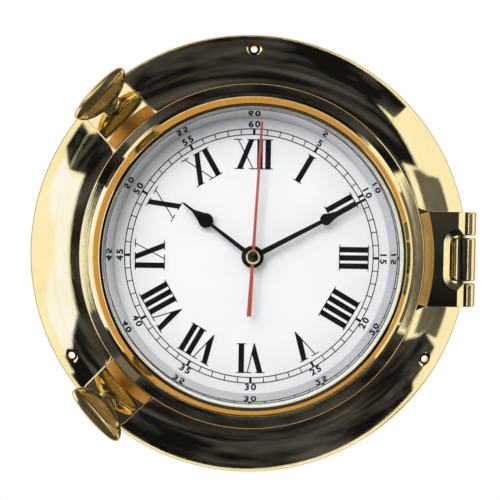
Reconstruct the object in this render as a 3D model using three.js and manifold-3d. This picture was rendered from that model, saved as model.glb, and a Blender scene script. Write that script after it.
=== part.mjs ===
// Porthole clock: a domed brass flange, a hinged glazed door with two wing screws, and a quartz
// movement that turns three hands over a white dial behind a mirror ring.
// Everything is drawn as seen from the front (x right, y up, z out of the wall), and the last group
// turns that view upright, so that the front faces -Y and 12 o'clock is +Z. Millimetres.
import * as THREE from 'three';
import Module from 'manifold-3d';
import { mergeVertices } from 'three/addons/utils/BufferGeometryUtils.js';

const wasm = await Module();
wasm.setup();

// Clearances
const fitGap = 0.3; // between pieces that rest on each other
const runGap = 0.3; // round a shaft that turns in its bore
const doorGap = 0.4; // between the closed door and its seat
const swingGap = 1; // what the door's inside leaves round the fixed rings as it swings
const cutDepth = 1; // how far a cutter runs past the face it opens

// Dial opening, mirror ring and dial: the radii outside them follow one after another
const openingRadius = 61.5;
const reflectorFlare = 1.7;
const reflectorWall = 0.5;
const reflectorFoot = 0.8;
const dialMargin = 0.6; // beyond the mirror ring
const dialThickness = 1;
const ledgeWidth = 6.8;
const ledgeThickness = 3;
const spigotEdge = 0.5; // beyond the dial
const spigotWall = 3;

// Door
const lipOverlap = 1.6; // over the lens
const lipLand = 0.8;
const lipThickness = 3;
const slope = { width: 3.6, height: 5.5 }; // steep band outside the crest
const shoulder = { width: 5.9, drop: 3.5 };
const gasketOverlap = 2.3;
const gasketThickness = 0.8;
const lensThickness = 2;
const lensClearance = 0.6; // between the mirror ring and the lens gasket
const retainerHeight = 2.4;
const lugDrop = 6; // from the shoulder to the lugs
const lugThickness = 4.5;
const lugHalfWidth = 12.3;
const lugFlare = 2.2;
const lugEnd = 5.5; // beyond the wing screw
const lugTilt = THREE.MathUtils.degToRad(22); // the wing screws and their lugs lean out with the dome
const lugCorner = 4.1;
const cove = { start: 1.3, width: 5.1, drop: 0.5 };

// Flange
const flangeWidth = 27.7; // from the door's wall to the rim
const rimHeight = 2.5;
const flangeWall = 3;
const seatHeight = 15;
const seatMargin = 1.8; // seat beyond the door's wall
const domeInnerSlope = THREE.MathUtils.degToRad(8);
const sealWidth = 2.2;
const sealThickness = 1.2;
const mountInset = 7.5; // from the rim to the screw holes
const mountHoleRadius = 1.6;
const countersinkRadius = 3.6;
const countersinkDepth = 2;

// Rear cover
const coverThickness = 1.6;
const coverInset = 14.5;
const coverBossInset = 8;
const coverBossRadius = 4;
const coverScrewRadius = 1.5;
const coverScrewLength = 7;
const coverHeadRadius = 2.8;
const coverHeadDepth = 1.3;

// Hinge
const hingeInset = 7.6; // from the rim to the pin
const barrelRadius = 6.05;
const pinRadius = 1.75;
const baseKnuckle = 19.4; // lengths along the pin
const doorKnuckle = 10.4;
const knuckleGap = 1.1;
const leafCutMargin = 4.35; // leaf to barrel
const leafCutCorner = 6;
const bracketWidth = 10.8;
const bracketScrewSpacing = 11;
const bracketScrewRadius = 2;
const bracketScrewEnd = 1.9; // short of the pin
const bracketHeadRadius = 3.5;
const bracketHeadHeight = 2;
const bracketPadHeight = 4; // face of the screw pads above the wall
const bracketPadRadius = 5;

// Wing screws
const dogInset = 11;
const dogAngles = { upper: THREE.MathUtils.degToRad(134), lower: THREE.MathUtils.degToRad(226) };
const dogRadius = 2.5;
const dogBoreGap = 0.4;
const dogSocketGap = 1.2;
const dogSocketWall = 3.1;
const dogEngagement = 2.2;
const dogSocketDepth = 5;
const dogTravel = 3.2; // four turns of a 0.8 mm thread
const clipWidth = 1.6;
const clipThickness = 0.8;
const wingHalfLength = 14.2;
const wingThickness = 5.6;
const wingFoot = 4.5; // underside of the wing over the lug
const wingHeight = 14;
const wingShoulder = 10.4;
const wingHubRadius = 5;
const wingHubHeight = 11.5;

// Hands
const secondMargin = 2.8; // short of the mirror ring
const minuteMargin = 6.1;
const hourMargin = 23.1;
const hourDisc = { at: 26, radius: 3.3 };
const hourStem = { base: 2.1, end: 1.4, tip: 1.3 };
const minuteDisc = { at: 36, radius: 2.6 };
const minuteStem = { base: 2.4, end: 1.8, tip: 1.6 };
const spadeFlare = 1.8; // from the disc to where the tip is narrow
const secondTail = 25.9;
const secondWidth = { tip: 1, hub: 1.3, tail: 2 };
const hourHubRadius = 4.9;
const minuteHubRadius = 4.7;
const secondHubRadius = 2.2;
const capRadius = 3.1;
const capHeight = 1.3;
const handThickness = 0.7;
const handSpacing = 1.2; // from one hand to the next
const handClearance = 0.75; // from the top of the cap to the top of the mirror ring
const hourTurn = THREE.MathUtils.degToRad(-307); // the hands stand at ten past ten
const minuteTurn = THREE.MathUtils.degToRad(-62);
const secondTurn = THREE.MathUtils.degToRad(-3);

// Movement
const caseDepth = 13.8;
const caseWall = 1.4;
const casePlate = 1.6;
const caseDrop = 8; // the hands' axis lies this far above the middle of the case
const bayGap = 1.1;
const washerThickness = 0.5;
const washerWidth = 1.2;
const bushingWall = 0.8;
const nutWall = 0.5;
const nutHeight = 1.8;
const bushingEnd = 0.3; // beyond the nut
const hourPipeWall = 0.35;
const minutePipeWall = 0.7;
const secondArbor = 0.5;
const arborGap = 0.4;
const wheelThickness = 1.1;
const trainRise = 0.5; // lowest wheel over the floor of the case
const trainHeadroom = 1.2;
const motionModule = 0.4;
const motionTeeth = { cannon: 10, minuteWheel: 30, minutePinion: 8, hourWheel: 32 };
const trainModule = 0.22;
const trainTeeth = { secondPinion: 6, thirdWheel: 45, thirdPinion: 6, centreWheel: 48 };
const secondWheelTeeth = 30;
const addendum = 0.7; // in modules
const dedendum = 1.1;
const toothHalf = { root: 0.25, tip: 0.12 }; // in tooth pitches
const studRadius = 0.5;
const minuteWheelTurn = THREE.MathUtils.degToRad(0); // where each arbor stands round the hands' axis
const thirdWheelTurn = THREE.MathUtils.degToRad(150);
const knobTurn = THREE.MathUtils.degToRad(25); // from the minute wheel's arbor to the knob's
const knobRadius = 6.5;
const knobHeight = 2.2;
const knobShaftRadius = 1.2;
const knobWindowGap = 0.9;
const batteryRadius = 7.1;
const batteryLength = 50.5;
const batteryCap = { radius: 2.7, height: 1.2 };
const batteryClear = 0.75; // from the rear cover
const contactThickness = 0.4;
const contactSize = 11;
const board = { length: 16, width: 12, thickness: 1 };
const crystal = { radius: 1, length: 6 };
const coil = { radius: 3.4, length: 15 };
const stator = { length: 20, width: 7, thickness: 1 };

// Facets
const ringSides = 56;
const innerSides = 40;
const roundSides = 20;
const smallSides = 12;
const domeSteps = { outside: 5, inside: 3 };

// Radii that follow
const reflectorTopRadius = openingRadius + reflectorFlare;
const reflectorOuter = reflectorTopRadius + reflectorWall;
const dialRadius = reflectorOuter + dialMargin;
const spigotRadius = dialRadius + spigotEdge;
const ledgeRadius = spigotRadius - ledgeWidth;
const bezelBore = spigotRadius + swingGap + runGap;
const insertRadius = bezelBore - fitGap; // of what is set into the bezel
const lipRadius = bezelBore - lipOverlap;
const crestRadius = lipRadius + lipLand;
const valleyRadius = crestRadius + slope.width;
const bezelRadius = valleyRadius + shoulder.width;
const coveTop = bezelRadius + cove.start;
const coveFoot = coveTop + cove.width;
const sealMiddle = (bezelBore + bezelRadius) / 2;
const domeInnerRadius = bezelRadius + seatMargin;
const flangeRadius = bezelRadius + flangeWidth;
const mountCircle = flangeRadius - mountInset;
const hingeX = flangeRadius - hingeInset;
const dogCircle = flangeRadius - dogInset;
const lugReach = dogCircle + lugEnd;
const coverRadius = flangeRadius - coverInset;
const coverBossCircle = coverRadius - coverBossInset;
const minuteBore = secondArbor + arborGap;
const minutePipe = minuteBore + minutePipeWall;
const hourBore = minutePipe + runGap;
const hourPipe = hourBore + hourPipeWall;
const bushingBore = hourPipe + runGap;
const bushingRadius = bushingBore + bushingWall;
const washerBore = bushingRadius + fitGap;

// Heights that follow, from the wall outwards
const caseTop = coverThickness + batteryClear + 2 * batteryRadius + fitGap + caseWall;
const caseBack = caseTop - caseDepth;
const caseFloor = caseBack + caseWall;
const plateBack = caseTop + fitGap;
const plateFront = plateBack + casePlate;
const cushionBottom = plateFront + fitGap;
const dialBack = cushionBottom + washerThickness + fitGap;
const ledgeTop = dialBack - fitGap;
const dialFront = dialBack + dialThickness;
const washerBottom = dialFront + fitGap;
const nutBottom = washerBottom + washerThickness + fitGap;
const bushingTop = nutBottom + nutHeight + bushingEnd;
const hourHandBottom = bushingTop + runGap;
const minuteHandBottom = hourHandBottom + handThickness + handSpacing;
const secondHandBottom = minuteHandBottom + handThickness + handSpacing;
const secondHandTop = secondHandBottom + handThickness;
const capBottom = secondHandTop + fitGap;
const reflectorBottom = dialFront + fitGap;
const reflectorTop = capBottom + capHeight + handClearance;
const gasketBottom = reflectorTop + lensClearance;
const retainerTop = gasketBottom - fitGap;
const lensBottom = gasketBottom + gasketThickness + fitGap;
const lensTop = lensBottom + lensThickness;
const lipBottom = lensTop + fitGap;
const crestHeight = lipBottom + lipThickness;
const valleyHeight = crestHeight - slope.height;
const shoulderHeight = valleyHeight - shoulder.drop;
const doorBottom = seatHeight + doorGap;
const lugTop = shoulderHeight - lugDrop;
const lugBottom = lugTop - lugThickness;
const lugFall = Math.tan(lugTilt);
const lugFace = lugTop - (dogCircle - coveFoot) * lugFall; // where a wing screw passes through its lug
const pinHeight = lugTop - barrelRadius;
const trainBottom = caseFloor + runGap + trainRise;
const layerPitch = (caseTop - trainHeadroom - wheelThickness - trainBottom) / 4;
const [secondLayer, thirdLayer, centreLayer, minuteLayer, hourLayer] = [0, 1, 2, 3, 4].map(
  (n) => trainBottom + n * layerPitch,
);

const finish = (color, roughness, metalness) =>
  new THREE.MeshStandardMaterial({ color, roughness, metalness });
const brass = finish(0xd2a445, 0.12, 1);
const steel = finish(0xb9bcc0, 0.3, 1);
const mirror = finish(0xdcdee0, 0.08, 1);
const dialWhite = finish(0xf6f5f1, 0.5, 0);
const handBlack = finish(0x141414, 0.4, 0.1);
const handRed = finish(0xc0392f, 0.45, 0);
const blackPlastic = finish(0x1b1c1e, 0.55, 0);
const whitePlastic = finish(0xe8e6df, 0.5, 0);
const rubber = finish(0x17181a, 0.85, 0);
const glass = finish(0xeef4f5, 0.02, 0);
const coverCoat = finish(0x33343a, 0.6, 0.2);
const boardGreen = finish(0x2d6a3c, 0.6, 0);
const copper = finish(0xb86a35, 0.35, 1);
const cellJacket = finish(0x3d5a80, 0.35, 0.2);
const silicone = finish(0xf2f2ee, 0.6, 0);

const clock = new THREE.Group();
clock.rotation.x = Math.PI / 2;

// Closed triangles of a geometry as a solid, turned right side out.
const toSolid = (geometry) => {
  const bare = geometry.clone();
  bare.deleteAttribute('normal');
  bare.deleteAttribute('uv');
  const merged = mergeVertices(bare, 1e-4);
  const at = merged.attributes.position;
  const corner = (i) => new THREE.Vector3().fromBufferAttribute(at, i);
  const triVerts = [];
  let volume = 0;
  for (let i = 0; i < merged.index.count; i += 3) {
    const [a, b, c] = [0, 1, 2].map((k) => merged.index.getX(i + k));
    if (a !== b && b !== c && c !== a) {
      triVerts.push([a, b, c]);
      volume += corner(a).dot(corner(b).cross(corner(c)));
    }
  }
  const facing = volume < 0 ? triVerts.map(([a, b, c]) => [a, c, b]) : triVerts;
  const vertProperties = new Float32Array(at.array);
  return new wasm.Manifold(
    new wasm.Mesh({ numProp: 3, vertProperties, triVerts: new Uint32Array(facing.flat()) }),
  );
};

const fromSolid = (solid) => {
  const { vertProperties, triVerts } = solid.getMesh();
  const geometry = new THREE.BufferGeometry();
  geometry.setAttribute('position', new THREE.BufferAttribute(vertProperties, 3));
  geometry.setIndex(new THREE.BufferAttribute(triVerts, 1));
  geometry.computeVertexNormals();
  return geometry;
};

const place = (name, solid, material, x = 0, y = 0, turn = 0) => {
  const mesh = new THREE.Mesh(fromSolid(solid), material);
  mesh.name = name;
  mesh.position.set(x, y, 0);
  mesh.rotation.z = turn;
  clock.add(mesh);
};

// A profile of [radius, height] pairs turned about the z axis.
const turned = (profile, sides = ringSides) => {
  const points = profile.map(([r, z]) => new THREE.Vector2(r, z));
  if (profile[0][0] > 0) points.push(points[0].clone());
  return toSolid(new THREE.LatheGeometry(points, sides).rotateX(Math.PI / 2));
};

const tube = (outer, inner, bottom, top, sides = ringSides) =>
  turned([[inner, bottom], [outer, bottom], [outer, top], [inner, top]], sides);

const rod = (radius, bottom, top, sides = roundSides) =>
  turned([[0, bottom], [radius, bottom], [radius, top], [0, top]], sides);

const plate = (shape, bottom, top, curveSegments = 8) =>
  toSolid(
    new THREE.ExtrudeGeometry(shape, { depth: top - bottom, bevelEnabled: false, curveSegments })
      .translate(0, 0, bottom),
  );

const block = (x0, x1, y0, y1, z0, z1) =>
  toSolid(
    new THREE.BoxGeometry(x1 - x0, y1 - y0, z1 - z0)
      .translate((x0 + x1) / 2, (y0 + y1) / 2, (z0 + z1) / 2),
  );

// A rod along y, centred on the hinge line.
const hingeRod = (radius, from, to) =>
  toSolid(
    new THREE.CylinderGeometry(radius, radius, to - from, roundSides)
      .translate(hingeX, (from + to) / 2, 0),
  ).translate([0, 0, pinHeight]);

const polar = (radius, angle) => [radius * Math.cos(angle), radius * Math.sin(angle)];
const degrees = THREE.MathUtils.radToDeg;

// The dome is an arc that leaves the seat at a shallow slope and ends at the rim.
const domeStart = new THREE.Vector2(domeInnerRadius, seatHeight);
const domeNormal = new THREE.Vector2(Math.sin(domeInnerSlope), Math.cos(domeInnerSlope));
const domeSpan = new THREE.Vector2(flangeRadius, rimHeight).sub(domeStart);
const domeRadius = -domeSpan.lengthSq() / (2 * domeSpan.dot(domeNormal));
const domeCentre = domeStart.clone().addScaledVector(domeNormal, -domeRadius);
const domeEndSlope = Math.asin((flangeRadius - domeCentre.x) / domeRadius);
// Points of that arc from the rim to the seat, moved out by the offset.
const domeArc = (offset, steps) =>
  Array.from({ length: steps + 1 }, (_, i) => {
    const tilt = THREE.MathUtils.lerp(domeEndSlope, domeInnerSlope, i / steps);
    const radius = domeRadius + offset;
    return [domeCentre.x + radius * Math.sin(tilt), domeCentre.y + radius * Math.cos(tilt)];
  });
const domeHeight = (radius) => domeCentre.y + Math.sqrt(domeRadius ** 2 - (radius - domeCentre.x) ** 2);
const underDome = (offset) => {
  const arc = domeArc(offset, domeSteps.outside);
  return turned([
    [spigotRadius, -cutDepth],
    [arc[0][0], -cutDepth],
    ...arc,
    [spigotRadius, seatHeight + offset],
  ]);
};

// Flange: domed shell, flat door seat with a seal groove, and the spigot that carries the dial
const grooveInner = sealMiddle - sealWidth / 2 - fitGap;
const grooveOuter = sealMiddle + sealWidth / 2 + fitGap;
const grooveFloor = seatHeight - sealThickness;
const shellInside = domeArc(-flangeWall, domeSteps.inside);
let flange = turned([
  [shellInside[0][0], 0],
  [flangeRadius, 0],
  ...domeArc(0, domeSteps.outside),
  [grooveOuter, seatHeight],
  [grooveOuter, grooveFloor],
  [grooveInner, grooveFloor],
  [grooveInner, seatHeight],
  [spigotRadius, seatHeight],
  [spigotRadius, ledgeTop],
  [ledgeRadius, ledgeTop],
  [ledgeRadius, ledgeTop - ledgeThickness],
  [spigotRadius - spigotWall, ledgeTop - ledgeThickness],
  [spigotRadius - spigotWall, seatHeight - flangeWall],
  ...shellInside.toReversed(),
]);
const inShell = underDome(-flangeWall / 2);
const addBoss = (radius, bottom, x, y) => {
  flange = flange.add(rod(radius, bottom, seatHeight).translate([x, y, 0]).intersect(inShell));
};
const bore = (radius, bottom, top, x, y) => {
  flange = flange.subtract(rod(radius, bottom, top, smallSides).translate([x, y, 0]));
};
const coverAngles = [30, 150, 270].map(THREE.MathUtils.degToRad);
coverAngles.forEach((angle) => {
  const [x, y] = polar(coverBossCircle, angle);
  addBoss(coverBossRadius, coverThickness + fitGap, x, y);
  bore(coverScrewRadius + fitGap, 0, coverScrewLength + fitGap, x, y);
});
const mountAngles = [90, 210, 330].map(THREE.MathUtils.degToRad);
mountAngles.forEach((angle) => {
  const [x, y] = polar(mountCircle, angle);
  const face = domeHeight(mountCircle);
  bore(mountHoleRadius, 0, face, x, y);
  const sink = turned([
    [0, face - countersinkDepth],
    [mountHoleRadius, face - countersinkDepth],
    [countersinkRadius, face],
    [countersinkRadius, seatHeight],
    [0, seatHeight],
  ], roundSides);
  flange = flange.subtract(sink.translate([x, y, 0]));
});
const dogStart = new THREE.Vector2(dogCircle, lugFace).sub(domeCentre);
const dogAlong = dogStart.dot(new THREE.Vector2(Math.sin(lugTilt), Math.cos(lugTilt)));
// From the face of the lug along the screw to the dome.
const dogReach = dogAlong - Math.sqrt(dogAlong ** 2 - dogStart.lengthSq() + domeRadius ** 2);
// Sets a solid drawn on the lug's face, z along the screw and x outwards, at a wing screw's place.
const atDog = (solid, angle) =>
  solid
    .rotate([0, degrees(lugTilt), 0])
    .translate([dogCircle, 0, lugFace])
    .rotate([0, 0, degrees(angle)]);
const dogSocketRadius = dogRadius + dogSocketGap;
const dogBoss = rod(dogSocketRadius + dogSocketWall, -dogReach - dogSocketDepth, 0);
const dogSocket = rod(dogSocketRadius, -dogReach - 2 * dogSocketDepth, 0, smallSides);
Object.values(dogAngles).forEach((angle) => {
  flange = flange.add(atDog(dogBoss, angle).intersect(inShell)).subtract(atDog(dogSocket, angle));
});
const bracketScrewPlaces = { upper: bracketScrewSpacing / 2, lower: -bracketScrewSpacing / 2 };
Object.values(bracketScrewPlaces).forEach((y) => {
  addBoss(bracketPadRadius, bracketPadHeight, hingeX, y);
  bore(bracketHeadRadius + fitGap, 0, bracketPadHeight, hingeX, y);
  bore(bracketScrewRadius + fitGap, 0, seatHeight, hingeX, y);
});
place('base_flange', flange, brass);

place('door_seal', tube(
  grooveOuter - fitGap, grooveInner + fitGap, grooveFloor + fitGap / 2, seatHeight + fitGap / 2, innerSides,
), rubber);

// Rear cover with a window over the setting knob
const motionDistance = (motionModule * (motionTeeth.cannon + motionTeeth.minuteWheel)) / 2;
const [minuteWheelX, minuteWheelY] = polar(motionDistance, minuteWheelTurn);
const [knobStepX, knobStepY] = polar(motionDistance, minuteWheelTurn + knobTurn);
const knobX = minuteWheelX + knobStepX;
const knobY = minuteWheelY + knobStepY;
let cover = rod(coverRadius, 0, coverThickness, ringSides);
cover = cover.subtract(
  rod(knobRadius + knobWindowGap, -cutDepth, coverThickness + cutDepth).translate([knobX, knobY, 0]),
);
const coverScrew = turned([
  [0, fitGap / 2],
  [coverHeadRadius, fitGap / 2],
  [coverScrewRadius, coverHeadDepth],
  [coverScrewRadius, coverScrewLength],
  [0, coverScrewLength],
], smallSides);
const coverSink = turned([
  [0, -cutDepth],
  [coverHeadRadius + fitGap + cutDepth, -cutDepth],
  [coverScrewRadius + fitGap, coverHeadDepth],
  [coverScrewRadius + fitGap, coverThickness + cutDepth],
  [0, coverThickness + cutDepth],
], smallSides);
coverAngles.forEach((angle, i) => {
  const [x, y] = polar(coverBossCircle, angle);
  cover = cover.subtract(coverSink.translate([x, y, 0]));
  place(`rear_cover_screw_${i + 1}`, coverScrew, steel, x, y);
});
place('rear_cover', cover, coverCoat);

// Hinge: the base carries the middle knuckle and the pin, the door the outer two
const baseEnd = baseKnuckle / 2;
const leafCutEnd = baseEnd + knuckleGap;
const leafEnd = leafCutEnd + doorKnuckle;
const bracketFoot = block(
  hingeX - bracketWidth / 2, hingeX + bracketWidth / 2, -baseEnd, baseEnd, 0, pinHeight,
);
let bracket = bracketFoot
  .subtract(underDome(fitGap))
  .add(hingeRod(barrelRadius, -baseEnd, baseEnd))
  .subtract(hingeRod(pinRadius + runGap, -leafEnd, leafEnd));
const bracketScrewTop = pinHeight - pinRadius - runGap - bracketScrewEnd;
const bracketHeadTop = bracketPadHeight - fitGap;
const bracketScrew = rod(bracketScrewRadius, bracketHeadTop, bracketScrewTop - fitGap, smallSides)
  .add(rod(bracketHeadRadius, bracketHeadTop - bracketHeadHeight, bracketHeadTop, smallSides));
Object.entries(bracketScrewPlaces).forEach(([side, y]) => {
  const hole = rod(bracketScrewRadius + fitGap, 0, bracketScrewTop, smallSides);
  bracket = bracket.subtract(hole.translate([hingeX, y, 0]));
  place(`hinge_bracket_screw_${side}`, bracketScrew, steel, hingeX, y);
});
place('hinge_bracket', bracket, brass);
place('hinge_pin', hingeRod(pinRadius, -leafEnd, leafEnd), brass);

// Door: turned bezel, three lugs run out of it, and the knuckles on the hinge leaf
let bezel = turned([
  [bezelBore, doorBottom],
  [bezelRadius, doorBottom],
  [bezelRadius, shoulderHeight],
  [valleyRadius, valleyHeight],
  [crestRadius, crestHeight],
  [lipRadius, crestHeight],
  [lipRadius, lipBottom],
  [bezelBore, lipBottom],
]);
const lugRoot = bezelBore + fitGap; // the lugs' stock starts inside the bezel's wall
const lugStock = lugReach + barrelRadius;
const coveHeight = shoulderHeight - cove.drop;
const lugSection = (fall) => {
  const drop = (lugStock - coveFoot) * fall;
  return turned([
    [lugRoot, lugBottom],
    [coveFoot, lugBottom],
    [lugStock, lugBottom - drop],
    [lugStock, lugTop - drop],
    [coveFoot, lugTop],
    [coveTop, coveHeight],
    [valleyRadius, coveHeight],
    [lugRoot, lugTop],
  ]);
};
const lugPlan = (halfWidth, reach, corner) => {
  const flared = halfWidth + lugFlare;
  const shape = new THREE.Shape();
  shape.moveTo(lugRoot, -flared);
  shape.lineTo(bezelRadius - lugFlare, -flared);
  shape.quadraticCurveTo(bezelRadius + lugFlare, -halfWidth, coveFoot, -halfWidth);
  shape.lineTo(reach - corner, -halfWidth);
  shape.quadraticCurveTo(reach, -halfWidth, reach, -halfWidth + corner);
  shape.lineTo(reach, halfWidth - corner);
  shape.quadraticCurveTo(reach, halfWidth, reach - corner, halfWidth);
  shape.lineTo(coveFoot, halfWidth);
  shape.quadraticCurveTo(bezelRadius + lugFlare, halfWidth, bezelRadius - lugFlare, flared);
  shape.lineTo(lugRoot, flared);
  shape.closePath();
  return shape;
};
const dogLug = plate(lugPlan(lugHalfWidth, lugReach, lugCorner), 0, crestHeight, 4);
const dogBore = rod(dogRadius + dogBoreGap, -2 * lugThickness, lugThickness);
Object.values(dogAngles).forEach((angle) => {
  const lug = dogLug.rotate([0, 0, degrees(angle)]).intersect(lugSection(lugFall));
  bezel = bezel.add(lug.subtract(atDog(dogBore, angle)));
});
const leafCut = new THREE.Shape();
const leafCutLeft = hingeX - barrelRadius - leafCutMargin;
const leafCutRight = hingeX + 2 * barrelRadius;
leafCut.moveTo(leafCutRight, -leafCutEnd);
leafCut.lineTo(leafCutRight, leafCutEnd);
leafCut.lineTo(leafCutLeft + leafCutCorner, leafCutEnd);
leafCut.quadraticCurveTo(leafCutLeft, leafCutEnd, leafCutLeft, leafCutEnd - leafCutCorner);
leafCut.lineTo(leafCutLeft, leafCutCorner - leafCutEnd);
leafCut.quadraticCurveTo(leafCutLeft, -leafCutEnd, leafCutLeft + leafCutCorner, -leafCutEnd);
leafCut.closePath();
const leaf = plate(lugPlan(leafEnd, hingeX, cutDepth), lugBottom, crestHeight, 4)
  .intersect(lugSection(0))
  .add(hingeRod(barrelRadius, -leafEnd, leafEnd))
  .subtract(plate(leafCut, pinHeight - 2 * barrelRadius, lugTop + cutDepth, 4))
  .subtract(hingeRod(pinRadius + runGap, -leafEnd - cutDepth, leafEnd + cutDepth));
place('bezel_ring', bezel.add(leaf), brass);
place('lens', rod(insertRadius, lensBottom, lensTop, innerSides), glass);
place('lens_gasket', tube(
  insertRadius, insertRadius - gasketOverlap, gasketBottom, gasketBottom + gasketThickness, innerSides,
), silicone);
place('lens_retaining_ring', tube(
  insertRadius, reflectorOuter + swingGap, retainerTop - retainerHeight, retainerTop, innerSides,
), brass);

// Wing screws, held in the lugs by spring clips
const wingShape = new THREE.Shape();
const hubBottom = fitGap; // heights here are from the face of the lug
const wingBottom = hubBottom + wingFoot;
const wingTop = wingBottom + wingHeight;
const wingSide = wingBottom + wingShoulder;
wingShape.moveTo(0, wingBottom);
const wingBelly = wingSide - wingShoulder / 2;
wingShape.bezierCurveTo(
  wingHalfLength / 2, wingBottom, wingHalfLength, wingBelly, wingHalfLength, wingSide,
);
wingShape.quadraticCurveTo(wingHalfLength, wingTop, 0, wingTop);
wingShape.quadraticCurveTo(-wingHalfLength, wingTop, -wingHalfLength, wingSide);
wingShape.bezierCurveTo(-wingHalfLength, wingBelly, -wingHalfLength / 2, wingBottom, 0, wingBottom);
const wing = toSolid(
  new THREE.ExtrudeGeometry(wingShape, { depth: wingThickness, bevelEnabled: false, curveSegments: 5 })
    .rotateX(Math.PI / 2)
    .translate(0, wingThickness / 2, 0)
    .rotateZ(Math.PI / 2),
);
const wingScrew = wing
  .add(turned([
    [0, hubBottom],
    [wingHubRadius, hubBottom],
    [wingHubRadius, hubBottom + wingHubHeight - wingHubRadius / 2],
    [wingHubRadius / 2, hubBottom + wingHubHeight],
    [0, hubBottom + wingHubHeight],
  ], roundSides))
  .add(rod(dogRadius, -dogReach - dogEngagement, hubBottom + cutDepth, smallSides));
const clipTop = -lugThickness * Math.cos(lugTilt) - dogTravel - fitGap;
const clip = tube(
  dogRadius + fitGap + clipWidth, dogRadius + fitGap, clipTop - clipThickness, clipTop, smallSides,
);
Object.entries(dogAngles).forEach(([side, angle]) => {
  place(`wing_screw_${side}`, atDog(wingScrew, angle), brass);
  place(`wing_screw_clip_${side}`, atDog(clip, angle), steel);
});

// Dial and the mirror ring that clamps it on the spigot
place('dial_plate', tube(dialRadius, washerBore, dialBack, dialFront, innerSides), dialWhite);
const footFlare = (reflectorFlare * reflectorFoot) / (reflectorTop - reflectorBottom);
place('reflector_ring', turned([
  [openingRadius, reflectorBottom],
  [dialRadius, reflectorBottom],
  [dialRadius, reflectorBottom + reflectorFoot],
  [openingRadius + footFlare + reflectorWall, reflectorBottom + reflectorFoot],
  [reflectorOuter, reflectorTop],
  [reflectorTopRadius, reflectorTop],
], innerSides), mirror);

// Movement case: gear room open to the front, battery bay open to the back
const caseHalf = batteryLength / 2 + contactThickness + 2 * fitGap + caseWall;
const caseLow = -caseHalf - caseDrop;
const caseHigh = caseHalf - caseDrop;
const bayHalf = batteryRadius + bayGap;
const bayMiddle = caseLow + caseWall + bayHalf;
const roomSide = caseHalf - caseWall;
const roomLow = bayMiddle + bayHalf + caseWall;
const roomHigh = caseHigh - caseWall;
const thirdDistance = (trainModule * (trainTeeth.thirdPinion + trainTeeth.centreWheel)) / 2;
const [thirdX, thirdY] = polar(thirdDistance, thirdWheelTurn);
const stud = (x, y, top) => rod(studRadius, caseFloor - caseWall / 2, top, smallSides).translate([x, y, 0]);
const minuteStudTop = hourLayer + wheelThickness;
const thirdStudTop = centreLayer + wheelThickness;
const knobHole = rod(knobShaftRadius + runGap, caseBack - cutDepth, caseFloor + cutDepth, smallSides);
place('movement_case', block(-caseHalf, caseHalf, caseLow, caseHigh, caseBack, caseTop)
  .subtract(block(-roomSide, roomSide, roomLow, roomHigh, caseFloor, caseTop + cutDepth))
  .subtract(block(
    -roomSide, roomSide, bayMiddle - bayHalf, bayMiddle + bayHalf, caseBack - cutDepth, caseTop - caseWall,
  ))
  .subtract(knobHole.translate([knobX, knobY, 0]))
  .add(stud(minuteWheelX, minuteWheelY, minuteStudTop))
  .add(stud(thirdX, thirdY, thirdStudTop)), blackPlastic);

// Front plate with the threaded bushing that holds the movement to the dial
place('movement_cover', block(-caseHalf, caseHalf, caseLow, caseHigh, plateBack, plateFront)
  .add(rod(bushingRadius, plateFront - cutDepth, bushingTop))
  .subtract(rod(bushingBore, plateBack - cutDepth, bushingTop + cutDepth)), blackPlastic);
const washerRing = (bottom) =>
  tube(washerBore + washerWidth, washerBore, bottom, bottom + washerThickness, roundSides);
place('dial_cushion', washerRing(cushionBottom), rubber);
place('dial_washer', washerRing(washerBottom), brass);
const nutTop = nutBottom + nutHeight;
const nutCorner = (washerBore + nutWall) / Math.cos(Math.PI / 6);
place('dial_nut', rod(nutCorner, nutBottom, nutTop, 6)
  .subtract(rod(washerBore, nutBottom - cutDepth, nutTop + cutDepth)), brass);

// Wheels: trapezoid teeth with room to run, the first tooth of each at its phase
const wheelShape = (teeth, module, phase) => {
  const step = (2 * Math.PI) / teeth;
  const pitchRadius = (teeth * module) / 2;
  const root = pitchRadius - dedendum * module;
  const tip = pitchRadius + addendum * module;
  const points = Array.from({ length: teeth }, (_, k) => phase + k * step).flatMap((angle) => [
    polar(root, angle - toothHalf.root * step),
    polar(tip, angle - toothHalf.tip * step),
    polar(tip, angle + toothHalf.tip * step),
    polar(root, angle + toothHalf.root * step),
  ]);
  return new THREE.Shape(points.map(([x, y]) => new THREE.Vector2(x, y)));
};
const wheel = (teeth, module, bottom, phase, thickness = wheelThickness) =>
  plate(wheelShape(teeth, module, phase), bottom, bottom + thickness);
// Phase of the wheel that meshes with a driver, seen from the driver's arbor at the given bearing.
const meshPhase = (driverTeeth, driverPhase, bearing, teeth) => {
  const along = ((bearing - driverPhase) * driverTeeth) / (2 * Math.PI);
  return bearing + Math.PI + ((along - 0.5) * 2 * Math.PI) / teeth;
};
const hole = (solid, radius, bottom, top) =>
  solid.subtract(rod(radius, bottom - cutDepth, top + cutDepth, smallSides));

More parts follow.
